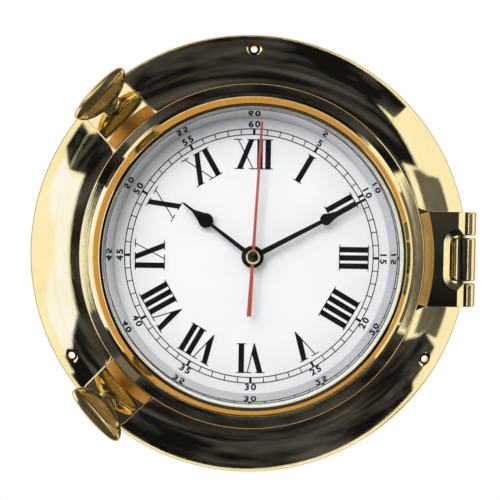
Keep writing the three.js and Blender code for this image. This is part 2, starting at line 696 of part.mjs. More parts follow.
// Motion work: cannon pinion, minute wheel and hour wheel
const cannonPhase = 0;
const minuteWheelPhase = meshPhase(
  motionTeeth.cannon, cannonPhase, minuteWheelTurn, motionTeeth.minuteWheel,
);
const hourWheelPhase = meshPhase(
  motionTeeth.minutePinion, minuteWheelPhase, minuteWheelTurn + Math.PI, motionTeeth.hourWheel,
);
const knobPhase = meshPhase(
  motionTeeth.minuteWheel, minuteWheelPhase, minuteWheelTurn + knobTurn, motionTeeth.cannon,
);
const minutePipeTop = minuteHandBottom + handThickness;
const hourPipeTop = hourHandBottom + handThickness;
place('cannon_pinion', hole(
  wheel(motionTeeth.cannon, motionModule, minuteLayer, cannonPhase)
    .add(rod(minutePipe, minuteLayer, minutePipeTop, smallSides)),
  minuteBore, minuteLayer, minutePipeTop,
), brass);
place('minute_wheel', hole(
  wheel(motionTeeth.minuteWheel, motionModule, minuteLayer, minuteWheelPhase)
    .add(wheel(
      motionTeeth.minutePinion, motionModule, minuteLayer, minuteWheelPhase, minuteStudTop - minuteLayer,
    )),
  studRadius + runGap, minuteLayer, minuteStudTop,
), whitePlastic, minuteWheelX, minuteWheelY);
place('hour_wheel', hole(
  wheel(motionTeeth.hourWheel, motionModule, hourLayer, hourWheelPhase)
    .add(rod(hourPipe, hourLayer, hourPipeTop, smallSides)),
  hourBore, hourLayer, hourPipeTop,
), whitePlastic);

// Going train: second wheel, third wheel and centre wheel
const thirdModule = (2 * thirdDistance) / (trainTeeth.secondPinion + trainTeeth.thirdWheel);
const secondPhase = 0;
const thirdPhase = meshPhase(trainTeeth.secondPinion, secondPhase, thirdWheelTurn, trainTeeth.thirdWheel);
const centrePhase = meshPhase(
  trainTeeth.thirdPinion, thirdPhase, thirdWheelTurn + Math.PI, trainTeeth.centreWheel,
);
const secondPinionHeight = thirdLayer + wheelThickness - secondLayer;
place('second_wheel', wheel(secondWheelTeeth, trainModule, secondLayer, secondPhase)
  .add(wheel(trainTeeth.secondPinion, thirdModule, secondLayer, secondPhase, secondPinionHeight))
  .add(rod(secondArbor, caseFloor + runGap, secondHandTop, smallSides)), whitePlastic);
place('third_wheel', hole(
  wheel(trainTeeth.thirdWheel, thirdModule, thirdLayer, thirdPhase)
    .add(wheel(trainTeeth.thirdPinion, trainModule, thirdLayer, thirdPhase, thirdStudTop - thirdLayer)),
  studRadius + runGap, thirdLayer, thirdStudTop,
), whitePlastic, thirdX, thirdY);
const clutchTop = minuteLayer - runGap;
place('centre_wheel', hole(
  wheel(trainTeeth.centreWheel, trainModule, centreLayer, centrePhase)
    .add(rod(minutePipe, centreLayer, clutchTop, smallSides)),
  minuteBore, centreLayer, clutchTop,
), whitePlastic);

// Setting knob behind the case, with the pinion that turns the minute wheel
const knobTop = caseBack - runGap;
place('setting_knob', rod(knobRadius, knobTop - knobHeight, knobTop)
  .add(rod(knobShaftRadius, knobTop - cutDepth, minuteLayer + wheelThickness, smallSides))
  .add(wheel(motionTeeth.cannon, motionModule, minuteLayer, knobPhase)), blackPlastic, knobX, knobY);

// Hands: spade blades on pipes, drawn pointing to 12 and turned to the time
const bladeShape = (stem, disc, tip, hubRadius) => {
  const shape = new THREE.Shape();
  const neck = Math.sqrt(disc.radius ** 2 - (stem.end / 2) ** 2);
  const start = Math.atan2(-neck, stem.end / 2);
  const discTop = disc.at + disc.radius;
  const shoulderSide = disc.radius * Math.SQRT1_2;
  shape.moveTo(-stem.base / 2, hubRadius / 2);
  shape.lineTo(stem.base / 2, hubRadius / 2);
  shape.lineTo(stem.end / 2, disc.at - neck);
  shape.absarc(0, disc.at, disc.radius, start, Math.PI / 4, false);
  shape.quadraticCurveTo(stem.tip, discTop + spadeFlare, stem.tip / 2, discTop + 2 * spadeFlare);
  shape.lineTo(stem.tip / 3, tip);
  shape.lineTo(-stem.tip / 3, tip);
  shape.lineTo(-stem.tip / 2, discTop + 2 * spadeFlare);
  shape.quadraticCurveTo(-stem.tip, discTop + spadeFlare, -shoulderSide, disc.at + shoulderSide);
  shape.absarc(0, disc.at, disc.radius, 0.75 * Math.PI, Math.PI - start, false);
  shape.closePath();
  return shape;
};
const hand = (stem, disc, tip, hubRadius, pipe, bottom) => {
  const top = bottom + handThickness;
  const blade = plate(bladeShape(stem, disc, tip, hubRadius), bottom, top, 5);
  return hole(blade.add(rod(hubRadius, bottom, top)), pipe + fitGap, bottom, top);
};
place('hour_hand', hand(
  hourStem, hourDisc, openingRadius - hourMargin, hourHubRadius, hourPipe, hourHandBottom,
), handBlack, 0, 0, hourTurn);
place('minute_hand', hand(
  minuteStem, minuteDisc, openingRadius - minuteMargin, minuteHubRadius, minutePipe, minuteHandBottom,
), handBlack, 0, 0, minuteTurn);
const secondTip = openingRadius - secondMargin;
const secondBlade = new THREE.Shape();
secondBlade.moveTo(-secondWidth.tail / 2, -secondTail);
secondBlade.lineTo(secondWidth.tail / 2, -secondTail);
secondBlade.lineTo(secondWidth.hub / 2, 0);
secondBlade.lineTo(secondWidth.tip / 2, secondTip);
secondBlade.lineTo(-secondWidth.tip / 2, secondTip);
secondBlade.lineTo(-secondWidth.hub / 2, 0);
secondBlade.closePath();
place('second_hand', hole(
  plate(secondBlade, secondHandBottom, secondHandTop)
    .add(rod(secondHubRadius, secondHandBottom, secondHandTop)),
  secondArbor + fitGap, secondHandBottom, secondHandTop,
), handRed, 0, 0, secondTurn);
place('second_hand_cap', turned([
  [0, capBottom],
  [capRadius, capBottom],
  [capRadius, capBottom + capHeight / 2],
  [capRadius / 2, capBottom + capHeight],
  [0, capBottom + capHeight / 2],
], roundSides), brass);

// Circuit, coil and stator in the corners of the gear room
const roomBottom = caseFloor + fitGap;
const roomEdge = roomSide - fitGap;
const slab = ({ length, width, thickness }, x) => {
  const top = roomHigh - fitGap;
  return block(x - length / 2, x + length / 2, top - width, top, roomBottom, roomBottom + thickness);
};
const lying = ({ radius, length }, x, y, bottom) =>
  toSolid(
    new THREE.CylinderGeometry(radius, radius, length, smallSides)
      .rotateZ(Math.PI / 2)
      .translate(x, y, 0),
  ).translate([0, 0, bottom + radius]);
const boardX = board.length / 2 - roomEdge;
const crystalBottom = roomBottom + board.thickness + fitGap;
place('circuit_board', slab(board, boardX), boardGreen);
place('quartz_crystal', lying(crystal, boardX, roomHigh - fitGap - board.width / 2, crystalBottom), steel);
place('motor_coil', lying(
  coil, roomEdge - coil.length / 2, roomLow + fitGap + coil.radius, roomBottom,
), copper);
place('motor_stator', slab(stator, roomEdge - stator.length / 2), steel);

// Battery between its two contacts
const batteryHeight = caseTop - caseWall - fitGap - batteryRadius;
const batteryEnd = batteryLength / 2;
const cell = turned([
  [0, -batteryEnd],
  [batteryRadius, -batteryEnd],
  [batteryRadius, batteryEnd - batteryCap.height],
  [batteryCap.radius, batteryEnd - batteryCap.height],
  [batteryCap.radius, batteryEnd],
  [0, batteryEnd],
], roundSides);
place('battery', cell.rotate([0, 90, 0]).translate([0, bayMiddle, batteryHeight]), cellJacket);
const contactHalf = contactSize / 2;
Object.entries({ positive: 1, negative: -1 }).forEach(([pole, side]) => {
  const near = side * (batteryEnd + fitGap);
  const far = near + side * contactThickness;
  place(`battery_contact_${pole}`, block(
    Math.min(near, far), Math.max(near, far), bayMiddle - contactHalf, bayMiddle + contactHalf,
    batteryHeight - contactHalf, batteryHeight + contactHalf,
  ), steel);
});

export default new THREE.Group().add(clock);
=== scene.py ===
import bpy
import bmesh
import math
from mathutils import Matrix, Vector


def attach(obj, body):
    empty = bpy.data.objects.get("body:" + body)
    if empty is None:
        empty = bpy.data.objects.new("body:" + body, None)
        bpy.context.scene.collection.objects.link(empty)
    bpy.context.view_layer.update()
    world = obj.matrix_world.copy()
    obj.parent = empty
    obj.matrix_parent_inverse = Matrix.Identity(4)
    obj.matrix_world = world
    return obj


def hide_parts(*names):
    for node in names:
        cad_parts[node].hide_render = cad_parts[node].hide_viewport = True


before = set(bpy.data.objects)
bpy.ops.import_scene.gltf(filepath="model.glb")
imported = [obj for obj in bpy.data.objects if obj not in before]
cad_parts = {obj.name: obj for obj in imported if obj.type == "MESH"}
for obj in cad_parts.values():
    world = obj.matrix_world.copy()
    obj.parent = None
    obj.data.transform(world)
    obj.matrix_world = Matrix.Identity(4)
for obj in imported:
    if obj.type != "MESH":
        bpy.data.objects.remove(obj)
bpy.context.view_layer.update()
print("frame loaded:", len(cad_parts), "nodes")

# Everything is drawn in millimetres as seen from the front (x right, y up, z out of the wall)
# and stood upright at the end.
mm = 0.001
upright = Matrix.Rotation(math.radians(90), 4, "X") @ Matrix.Scale(mm, 4)


def polar(radius, degrees):
    return radius * math.cos(math.radians(degrees)), radius * math.sin(math.radians(degrees))


# Shader helpers

def addNode(tree, kind, values=None, **settings):
    made = tree.nodes.new(kind)
    for key, value in settings.items():
        setattr(made, key, value)
    for key, value in (values or {}).items():
        made.inputs[key].default_value = value
    return made


def startGroup(name, inputs, outputs):
    group = bpy.data.node_groups.new(name, "ShaderNodeTree")
    for label, value in inputs.items():
        group.interface.new_socket(label, in_out="INPUT", socket_type="NodeSocketFloat").default_value = value
    for label in outputs:
        group.interface.new_socket(label, in_out="OUTPUT", socket_type="NodeSocketFloat")
    return group, group.nodes.new("NodeGroupInput"), group.nodes.new("NodeGroupOutput")


def makeTurnedPolish():
    group, given, result = startGroup(
        "turnedPolish", {"Rings": 1500.0, "Turns": 3.0, "Smudges": 45.0}, ("Streak", "Smudge")
    )
    link = group.links.new
    coords = addNode(group, "ShaderNodeTexCoord")
    split = addNode(group, "ShaderNodeSeparateXYZ")
    flat = addNode(group, "ShaderNodeCombineXYZ")
    radius = addNode(group, "ShaderNodeVectorMath", operation="LENGTH")
    facing = addNode(group, "ShaderNodeVectorMath", operation="NORMALIZE")
    around = addNode(group, "ShaderNodeVectorMath", operation="SCALE")
    outwards = addNode(group, "ShaderNodeMath", operation="MULTIPLY")
    ringPlace = addNode(group, "ShaderNodeCombineXYZ")
    path = addNode(group, "ShaderNodeVectorMath", operation="ADD")
    streak = addNode(group, "ShaderNodeTexNoise", {"Scale": 1.0, "Detail": 5.0, "Roughness": 0.65})
    smudge = addNode(group, "ShaderNodeTexNoise", {"Detail": 3.0, "Roughness": 0.55})
    link(coords.outputs["Object"], split.inputs[0])
    link(split.outputs["X"], flat.inputs["X"])
    link(split.outputs["Z"], flat.inputs["Z"])
    link(flat.outputs[0], radius.inputs[0])
    link(flat.outputs[0], facing.inputs[0])
    link(facing.outputs[0], around.inputs[0])
    link(given.outputs["Turns"], around.inputs["Scale"])
    link(radius.outputs["Value"], outwards.inputs[0])
    link(given.outputs["Rings"], outwards.inputs[1])
    link(outwards.outputs[0], ringPlace.inputs["Y"])
    link(around.outputs[0], path.inputs[0])
    link(ringPlace.outputs[0], path.inputs[1])
    link(path.outputs[0], streak.inputs["Vector"])
    link(coords.outputs["Object"], smudge.inputs["Vector"])
    link(given.outputs["Smudges"], smudge.inputs["Scale"])
    link(streak.outputs["Fac"], result.inputs["Streak"])
    link(smudge.outputs["Fac"], result.inputs["Smudge"])
    return group


def makeFineGrain():
    group, given, result = startGroup("fineGrain", {"Grains": 900.0, "Clouds": 40.0}, ("Grain", "Cloud"))
    link = group.links.new
    coords = addNode(group, "ShaderNodeTexCoord")
    grain = addNode(group, "ShaderNodeTexNoise", {"Detail": 4.0, "Roughness": 0.6})
    cloud = addNode(group, "ShaderNodeTexNoise", {"Detail": 3.0, "Roughness": 0.5})
    for noise, size, label in ((grain, "Grains", "Grain"), (cloud, "Clouds", "Cloud")):
        link(coords.outputs["Object"], noise.inputs["Vector"])
        link(given.outputs[size], noise.inputs["Scale"])
        link(noise.outputs["Fac"], result.inputs[label])
    return group


turnedPolish = makeTurnedPolish()
fineGrain = makeFineGrain()


def startMaterial(name):
    material = bpy.data.materials.new(name)
    material.use_nodes = True
    tree = material.node_tree
    return material, tree, tree.nodes["Principled BSDF"]


def placeGroup(tree, group, **values):
    made = addNode(tree, "ShaderNodeGroup", node_tree=group)
    for key, value in values.items():
        made.inputs[key].default_value = value
    return made


def mixColours(tree, mask, first, second):
    blend = addNode(tree, "ShaderNodeMix", data_type="RGBA")
    blend.inputs["A"].default_value = (*first, 1) if first else (0, 0, 0, 1)
    blend.inputs["B"].default_value = (*second, 1)
    tree.links.new(mask, blend.inputs["Factor"])
    return blend.outputs["Result"], blend


def spread(tree, mask, low, high, start=0.3, end=0.7):
    ramp = addNode(tree, "ShaderNodeMapRange", {"From Min": start, "From Max": end, "To Min": low, "To Max": high})
    tree.links.new(mask, ramp.inputs["Value"])
    return ramp.outputs["Result"]


def dent(tree, shader, height, strength, depth):
    bump = addNode(tree, "ShaderNodeBump", {"Strength": strength, "Distance": depth})
    tree.links.new(height, bump.inputs["Height"])
    tree.links.new(bump.outputs["Normal"], shader.inputs["Normal"])


def makeMetal(name, look):
    material, tree, shader = startMaterial(name)
    shader.inputs["Metallic"].default_value = look.get("metallic", 1.0)
    polish = placeGroup(tree, turnedPolish, Rings=look["rings"], Smudges=look["smudges"])
    tint = spread(tree, polish.outputs["Smudge"], 0.0, 1.0)
    colour, _ = mixColours(tree, tint, look["pale"], look["deep"])
    tree.links.new(colour, shader.inputs["Base Color"])
    tree.links.new(spread(tree, polish.outputs["Smudge"], *look["rough"]), shader.inputs["Roughness"])
    dent(tree, shader, polish.outputs["Streak"], look["streak"], look["depth"])
    return material


def makeSolid(name, look):
    material, tree, shader = startMaterial(name)
    shader.inputs["Specular IOR Level"].default_value = look.get("specular", 0.5)
    grain = placeGroup(tree, fineGrain, Grains=look["grains"], Clouds=look["clouds"])
    tint = spread(tree, grain.outputs["Cloud"], 0.0, 1.0)
    colour, _ = mixColours(tree, tint, look["pale"], look["deep"])
    tree.links.new(colour, shader.inputs["Base Color"])
    tree.links.new(spread(tree, grain.outputs["Grain"], *look["rough"]), shader.inputs["Roughness"])
    dent(tree, shader, grain.outputs["Grain"], look["bump"], look["depth"])
    return material


metalLooks = {
    "polishedBrass": {"pale": (0.97, 0.86, 0.49), "deep": (0.94, 0.80, 0.40), "rough": (0.02, 0.07),
                      "rings": 1400.0, "smudges": 45.0, "streak": 0.4, "depth": 0.00004},
    "plainBrass": {"pale": (0.86, 0.68, 0.32), "deep": (0.74, 0.56, 0.24), "rough": (0.18, 0.32),
                   "rings": 3000.0, "smudges": 90.0, "streak": 0.25, "depth": 0.00005},
    "satinBrass": {"pale": (0.86, 0.56, 0.17), "deep": (0.78, 0.48, 0.13), "rough": (0.36, 0.46),
                   "rings": 1400.0, "smudges": 60.0, "streak": 0.2, "depth": 0.00004},
    "castBrass": {"pale": (0.97, 0.80, 0.36), "deep": (0.90, 0.66, 0.24), "rough": (0.12, 0.22),
                  "rings": 2200.0, "smudges": 160.0, "streak": 0.3, "depth": 0.00005, "metallic": 0.97},
    "rawBrass": {"pale": (0.96, 0.62, 0.19), "deep": (0.74, 0.40, 0.10), "rough": (0.22, 0.36),
                 "rings": 350.0, "smudges": 300.0, "streak": 0.9, "depth": 0.0012, "metallic": 0.7},
    "plainSteel": {"pale": (0.74, 0.75, 0.77), "deep": (0.60, 0.61, 0.63), "rough": (0.22, 0.38),
                   "rings": 3000.0, "smudges": 120.0, "streak": 0.2, "depth": 0.00005},
    "brightAluminium": {"pale": (0.68, 0.68, 0.69), "deep": (0.62, 0.62, 0.63), "rough": (0.0, 0.02),
                        "rings": 4000.0, "smudges": 60.0, "streak": 0.01, "depth": 0.00002},
    "copperWire": {"pale": (0.78, 0.42, 0.22), "deep": (0.58, 0.27, 0.12), "rough": (0.2, 0.35),
                   "rings": 6000.0, "smudges": 300.0, "streak": 0.6, "depth": 0.0001},
}
solidLooks = {
    "handBlack": {"pale": (0.005, 0.005, 0.0055), "deep": (0.003, 0.003, 0.0035), "rough": (0.32, 0.42),
                  "grains": 2500.0, "clouds": 80.0, "bump": 0.05, "depth": 0.00005, "specular": 0.25},
    "printBlack": {"pale": (0.006, 0.006, 0.0065), "deep": (0.003, 0.003, 0.0035), "rough": (0.45, 0.6),
                   "grains": 3000.0, "clouds": 120.0, "bump": 0.05, "depth": 0.00003, "specular": 0.15},
    "handRed": {"pale": (0.50, 0.080, 0.055), "deep": (0.43, 0.062, 0.045), "rough": (0.35, 0.45),
                "grains": 2500.0, "clouds": 80.0, "bump": 0.05, "depth": 0.00005},
    "blackPlastic": {"pale": (0.022, 0.022, 0.024), "deep": (0.014, 0.014, 0.016), "rough": (0.42, 0.58),
                     "grains": 1800.0, "clouds": 60.0, "bump": 0.25, "depth": 0.0001},
    "whitePlastic": {"pale": (0.80, 0.79, 0.75), "deep": (0.72, 0.71, 0.67), "rough": (0.38, 0.52),
                     "grains": 1800.0, "clouds": 90.0, "bump": 0.15, "depth": 0.0001},
    "blackRubber": {"pale": (0.020, 0.020, 0.022), "deep": (0.011, 0.011, 0.012), "rough": (0.7, 0.9),
                    "grains": 1200.0, "clouds": 90.0, "bump": 0.3, "depth": 0.0001},
    "paleSilicone": {"pale": (0.86, 0.86, 0.83), "deep": (0.80, 0.80, 0.77), "rough": (0.45, 0.6),
                     "grains": 1200.0, "clouds": 60.0, "bump": 0.1, "depth": 0.0001},
    "coverCoat": {"pale": (0.026, 0.027, 0.031), "deep": (0.016, 0.017, 0.020), "rough": (0.48, 0.66),
                  "grains": 1100.0, "clouds": 30.0, "bump": 0.45, "depth": 0.0003},
    "boardGreen": {"pale": (0.02, 0.14, 0.045), "deep": (0.012, 0.09, 0.03), "rough": (0.3, 0.45),
                   "grains": 1500.0, "clouds": 250.0, "bump": 0.15, "depth": 0.0001},
}
finishes = {name: makeMetal(name, look) for name, look in metalLooks.items()}
finishes.update({name: makeSolid(name, look) for name, look in solidLooks.items()})


def makeDialPaint(look):
    material, tree, shader = startMaterial("dialPaintWithRimShade")
    coords = addNode(tree, "ShaderNodeTexCoord")
    flatten = addNode(tree, "ShaderNodeVectorMath", {1: (1, 0, 1)}, operation="MULTIPLY")
    radius = addNode(tree, "ShaderNodeVectorMath", operation="LENGTH")
    grain = placeGroup(tree, fineGrain, Grains=look["grains"], Clouds=look["clouds"])
    tree.links.new(coords.outputs["Object"], flatten.inputs[0])
    tree.links.new(flatten.outputs[0], radius.inputs[0])
    edge = spread(tree, radius.outputs["Value"], 0.0, 1.0, look["rimShadeFrom"] * mm, look["rimShadeTo"] * mm)  # painted shade: greyer towards the rim, where the bezel shades the dial
    colour, rimShadeMix = mixColours(tree, edge, None, look["edge"])
    middle, _ = mixColours(tree, spread(tree, grain.outputs["Cloud"], 0.0, 1.0), look["pale"], look["deep"])
    tree.links.new(middle, rimShadeMix.inputs["A"])
    tree.links.new(colour, shader.inputs["Base Color"])
    tree.links.new(spread(tree, grain.outputs["Grain"], *look["rough"]), shader.inputs["Roughness"])
    dent(tree, shader, grain.outputs["Grain"], look["bump"], look["depth"])
    return material


def makeLensGlass(look):
    material, tree, shader = startMaterial("lensGlass")
    shader.inputs["Base Color"].default_value = (*look["tint"], 1)
    shader.inputs["Transmission Weight"].default_value = 1.0
    shader.inputs["IOR"].default_value = look["bend"]
    grain = placeGroup(tree, fineGrain, Clouds=look["clouds"])
    tree.links.new(spread(tree, grain.outputs["Cloud"], *look["rough"]), shader.inputs["Roughness"])
    path = addNode(tree, "ShaderNodeLightPath")
    clear = addNode(tree, "ShaderNodeBsdfTransparent")
    blend = addNode(tree, "ShaderNodeMixShader")
    tree.links.new(path.outputs["Is Shadow Ray"], blend.inputs["Fac"])  # lamp light passes straight through
    tree.links.new(shader.outputs[0], blend.inputs[1])
    tree.links.new(clear.outputs[0], blend.inputs[2])
    tree.links.new(blend.outputs[0], tree.nodes["Material Output"].inputs["Surface"])
    return material


def makeCellJacket(look):
    material, tree, shader = startMaterial("cellJacket")
    coords = addNode(tree, "ShaderNodeTexCoord")
    split = addNode(tree, "ShaderNodeSeparateXYZ")
    grain = placeGroup(tree, fineGrain, Grains=look["grains"], Clouds=look["clouds"])
    tree.links.new(coords.outputs["Object"], split.inputs[0])
    band = spread(tree, split.outputs["X"], 0.0, 1.0, look["bandFrom"] * mm, look["bandTo"] * mm)
    colour, _ = mixColours(tree, band, look["body"], look["band"])
    tree.links.new(colour, shader.inputs["Base Color"])
    tree.links.new(spread(tree, grain.outputs["Cloud"], *look["rough"]), shader.inputs["Roughness"])
    dent(tree, shader, grain.outputs["Grain"], look["bump"], look["depth"])
    return material


# The edge colour, blended in from 40 to 62 mm out, is painted shade where the bezel shades the dial.
finishes["dialPaintWithRimShade"] = makeDialPaint({"pale": (0.90, 0.90, 0.905), "deep": (0.875, 0.875, 0.88),
                                       "edge": (0.80, 0.80, 0.81), "rimShadeFrom": 40, "rimShadeTo": 62,
                                       "rough": (0.5, 0.62), "grains": 2200.0, "clouds": 55.0, "bump": 0.06,
                                       "depth": 0.00005})
finishes["lensGlass"] = makeLensGlass({"tint": (0.985, 0.995, 0.99), "bend": 1.45, "clouds": 35.0,
                                       "rough": (0.0, 0.012)})
finishes["cellJacket"] = makeCellJacket({"body": (0.02, 0.05, 0.13), "band": (0.55, 0.30, 0.10),
                                         "bandFrom": 11.5, "bandTo": 12, "rough": (0.22, 0.36),
                                         "grains": 1500.0, "clouds": 60.0, "bump": 0.08, "depth": 0.00005})
print("finishes made:", len(finishes))


# Mesh helpers

merging = 1e-4  # points closer than this become one
near = 1e-3  # heights closer than this are the same
ringSteps = 288  # facets of the large rings


def roundCorners(bm, verts, rounds, segments):
    for index, offset in (rounds or {}).items():
        bmesh.ops.bevel(bm, geom=[verts[index]], offset=offset, offset_type="OFFSET", affect="VERTICES",
                        segments=segments, profile=0.5, material=-1, clamp_overlap=True)


def mergeAndFace(bm, distance=merging):
    bmesh.ops.remove_doubles(bm, verts=bm.verts[:], dist=distance)
    bmesh.ops.recalc_face_normals(bm, faces=bm.faces[:])


def turned(profile, steps=192, rounds=None, segments=4):
    bm = bmesh.new()
    verts = [bm.verts.new((radius, 0, height)) for radius, height in profile]
    bm.faces.new(verts)
    roundCorners(bm, verts, rounds, segments)
    bmesh.ops.delete(bm, geom=bm.faces[:], context="FACES_ONLY")
    bmesh.ops.spin(bm, geom=bm.verts[:] + bm.edges[:], cent=(0, 0, 0), axis=(0, 0, 1), angle=math.tau,
                   steps=steps, use_merge=True)
    mergeAndFace(bm)
    return bm


def slab(outline, bottom, top, rounds=None, segments=8):
    bm = bmesh.new()
    verts = [bm.verts.new((x, y, bottom)) for x, y in outline]
    bm.faces.new(verts)
    roundCorners(bm, verts, rounds, segments)
    raised = bmesh.ops.extrude_face_region(bm, geom=bm.faces[:])["geom"]
    lifted = [g for g in raised if isinstance(g, bmesh.types.BMVert)]
    bmesh.ops.translate(bm, verts=lifted, vec=(0, 0, top - bottom))
    bmesh.ops.recalc_face_normals(bm, faces=bm.faces[:])
    return bm


def softenEdges(bm, edges, offset, segments=4, clamp=True):
    bmesh.ops.bevel(bm, geom=edges, offset=offset, offset_type="OFFSET", affect="EDGES", segments=segments,
                    profile=0.5, material=-1, clamp_overlap=clamp)


def edgesAt(bm, height, keep=lambda a, b: True):
    return [e for e in bm.edges
            if all(abs(v.co.z - height) < near for v in e.verts) and keep(e.verts[0].co, e.verts[1].co)]


def move(bm, matrix):
    bmesh.ops.transform(bm, matrix=matrix, verts=bm.verts[:])
    return bm


def addTo(bm, other):
    mesh = bpy.data.meshes.new("joining")
    other.to_mesh(mesh)
    other.free()
    bm.from_mesh(mesh)
    bpy.data.meshes.remove(mesh)
    return bm


def asObject(bm, name):
    mesh = bpy.data.meshes.new(name)
    bm.to_mesh(mesh)
    bm.free()
    made = bpy.data.objects.new(name, mesh)
    bpy.context.scene.collection.objects.link(made)
    return made


def carve(bm, cutter, operation="DIFFERENCE"):
    stock, tool = asObject(bm, "stock"), asObject(cutter, "tool")
    cut = stock.modifiers.new("cut", "BOOLEAN")
    cut.operation, cut.solver, cut.object = operation, "MANIFOLD", tool
    bpy.context.view_layer.update()
    shaped = stock.evaluated_get(bpy.context.evaluated_depsgraph_get())
    result = bmesh.new()
    result.from_mesh(shaped.to_mesh())
    shaped.to_mesh_clear()
    for spare in (stock, tool):
        mesh = spare.data
        bpy.data.objects.remove(spare)
        bpy.data.meshes.remove(mesh)
    return result


def dress(bm, name, finish, slotName, body, *nodes, sharp=35):
    move(bm, upright)
    limit = math.radians(sharp)
    for face in bm.faces:
        face.smooth = True
    for edge in bm.edges:
        edge.smooth = edge.calc_face_angle(0) < limit
    made = asObject(bm, name)
    made.data.materials.append(finishes[finish])
    made.modifiers.new("evenNormals", "WEIGHTED_NORMAL").keep_sharp = True
    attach(made, body)
    if nodes:
        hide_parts(*nodes)
    return made


# Camera, floor and studio

view = {"from": (-0.0130, -0.380, 0.0130), "aimAt": (-0.0003, 0.0, 0.00225), "roll": 0.9, "lens": 58.07}
camera = bpy.data.objects.new("camera", bpy.data.cameras.new("camera"))
camera.data.lens, camera.data.sensor_width = view["lens"], 36.0
looking = (Vector(view["aimAt"]) - Vector(view["from"])).to_track_quat("-Z", "Y").to_matrix().to_4x4()
camera.matrix_world = (Matrix.Translation(view["from"]) @ looking
                       @ Matrix.Rotation(math.radians(view["roll"]), 4, "Z"))
bpy.context.scene.collection.objects.link(camera)
bpy.context.scene.camera = camera
bpy.context.scene.view_settings.view_transform = "Standard"


lamps = {
    "keyLamp": {"place": (-0.36, -1.1, 0.52), "size": 0.7, "power": 9.9},
    "fillLamp": {"place": (0.8, -0.9, 0.1), "size": 0.9, "power": 2.6},
}
for name, look in lamps.items():
    lamp = bpy.data.objects.new(name, bpy.data.lights.new(name, "AREA"))
    lamp.data.shape, lamp.data.size, lamp.data.energy = "DISK", look["size"], look["power"]
    towardsClock = (-Vector(look["place"])).to_track_quat("-Z", "Y").to_matrix().to_4x4()
    lamp.matrix_world = Matrix.Translation(look["place"]) @ towardsClock
    lamp.visible_glossy = False
    bpy.context.scene.collection.objects.link(lamp)

# The world is white to the camera, also mirrored or through glass, and lights matt surfaces less
world = bpy.data.worlds.new("studio")
bpy.context.scene.world = world
world.use_nodes = True
skyTree = world.node_tree
sky = {"seen": (1.0, 1.0, 1.0), "lighting": (0.62, 0.62, 0.63)}
paths = addNode(skyTree, "ShaderNodeLightPath")
either = addNode(skyTree, "ShaderNodeMath", operation="MAXIMUM")
anyOf = addNode(skyTree, "ShaderNodeMath", operation="MAXIMUM")
direct = addNode(skyTree, "ShaderNodeMath", {1: 0.5}, operation="LESS_THAN")  # no matt surface met yet
shown = addNode(skyTree, "ShaderNodeMath", operation="MULTIPLY")
for source, target in (
    (paths.outputs["Is Camera Ray"], either.inputs[0]), (paths.outputs["Is Glossy Ray"], either.inputs[1]),
    (either.outputs[0], anyOf.inputs[0]), (paths.outputs["Is Transmission Ray"], anyOf.inputs[1]),
    (paths.outputs["Diffuse Depth"], direct.inputs[0]),
    (anyOf.outputs[0], shown.inputs[0]), (direct.outputs[0], shown.inputs[1]),
):
    skyTree.links.new(source, target)
skyColour, _ = mixColours(skyTree, shown.outputs[0], sky["lighting"], sky["seen"])
skyTree.links.new(skyColour, skyTree.nodes["Background"].inputs["Color"])


def makeGlow(name, look):
    material = bpy.data.materials.new(name)
    material.use_nodes = True
    tree = material.node_tree
    tree.nodes.clear()
    coords = addNode(tree, "ShaderNodeTexCoord")
    stretched = addNode(tree, "ShaderNodeMapping", {"Scale": look["grain"]})
    cloud = addNode(tree, "ShaderNodeTexNoise", {"Scale": 1.0, "Detail": 3.0, "Roughness": 0.55})
    glow = addNode(tree, "ShaderNodeEmission")
    result = addNode(tree, "ShaderNodeOutputMaterial")
    tree.links.new(coords.outputs["Object"], stretched.inputs["Vector"])
    tree.links.new(stretched.outputs[0], cloud.inputs["Vector"])
    folds = spread(tree, cloud.outputs["Fac"], 0.0, 1.0, *look.get("folds", ()))
    colour, _ = mixColours(tree, folds, look["deep"], look["pale"])
    tree.links.new(colour, glow.inputs["Color"])
    tree.links.new(glow.outputs[0], result.inputs["Surface"])
    return material


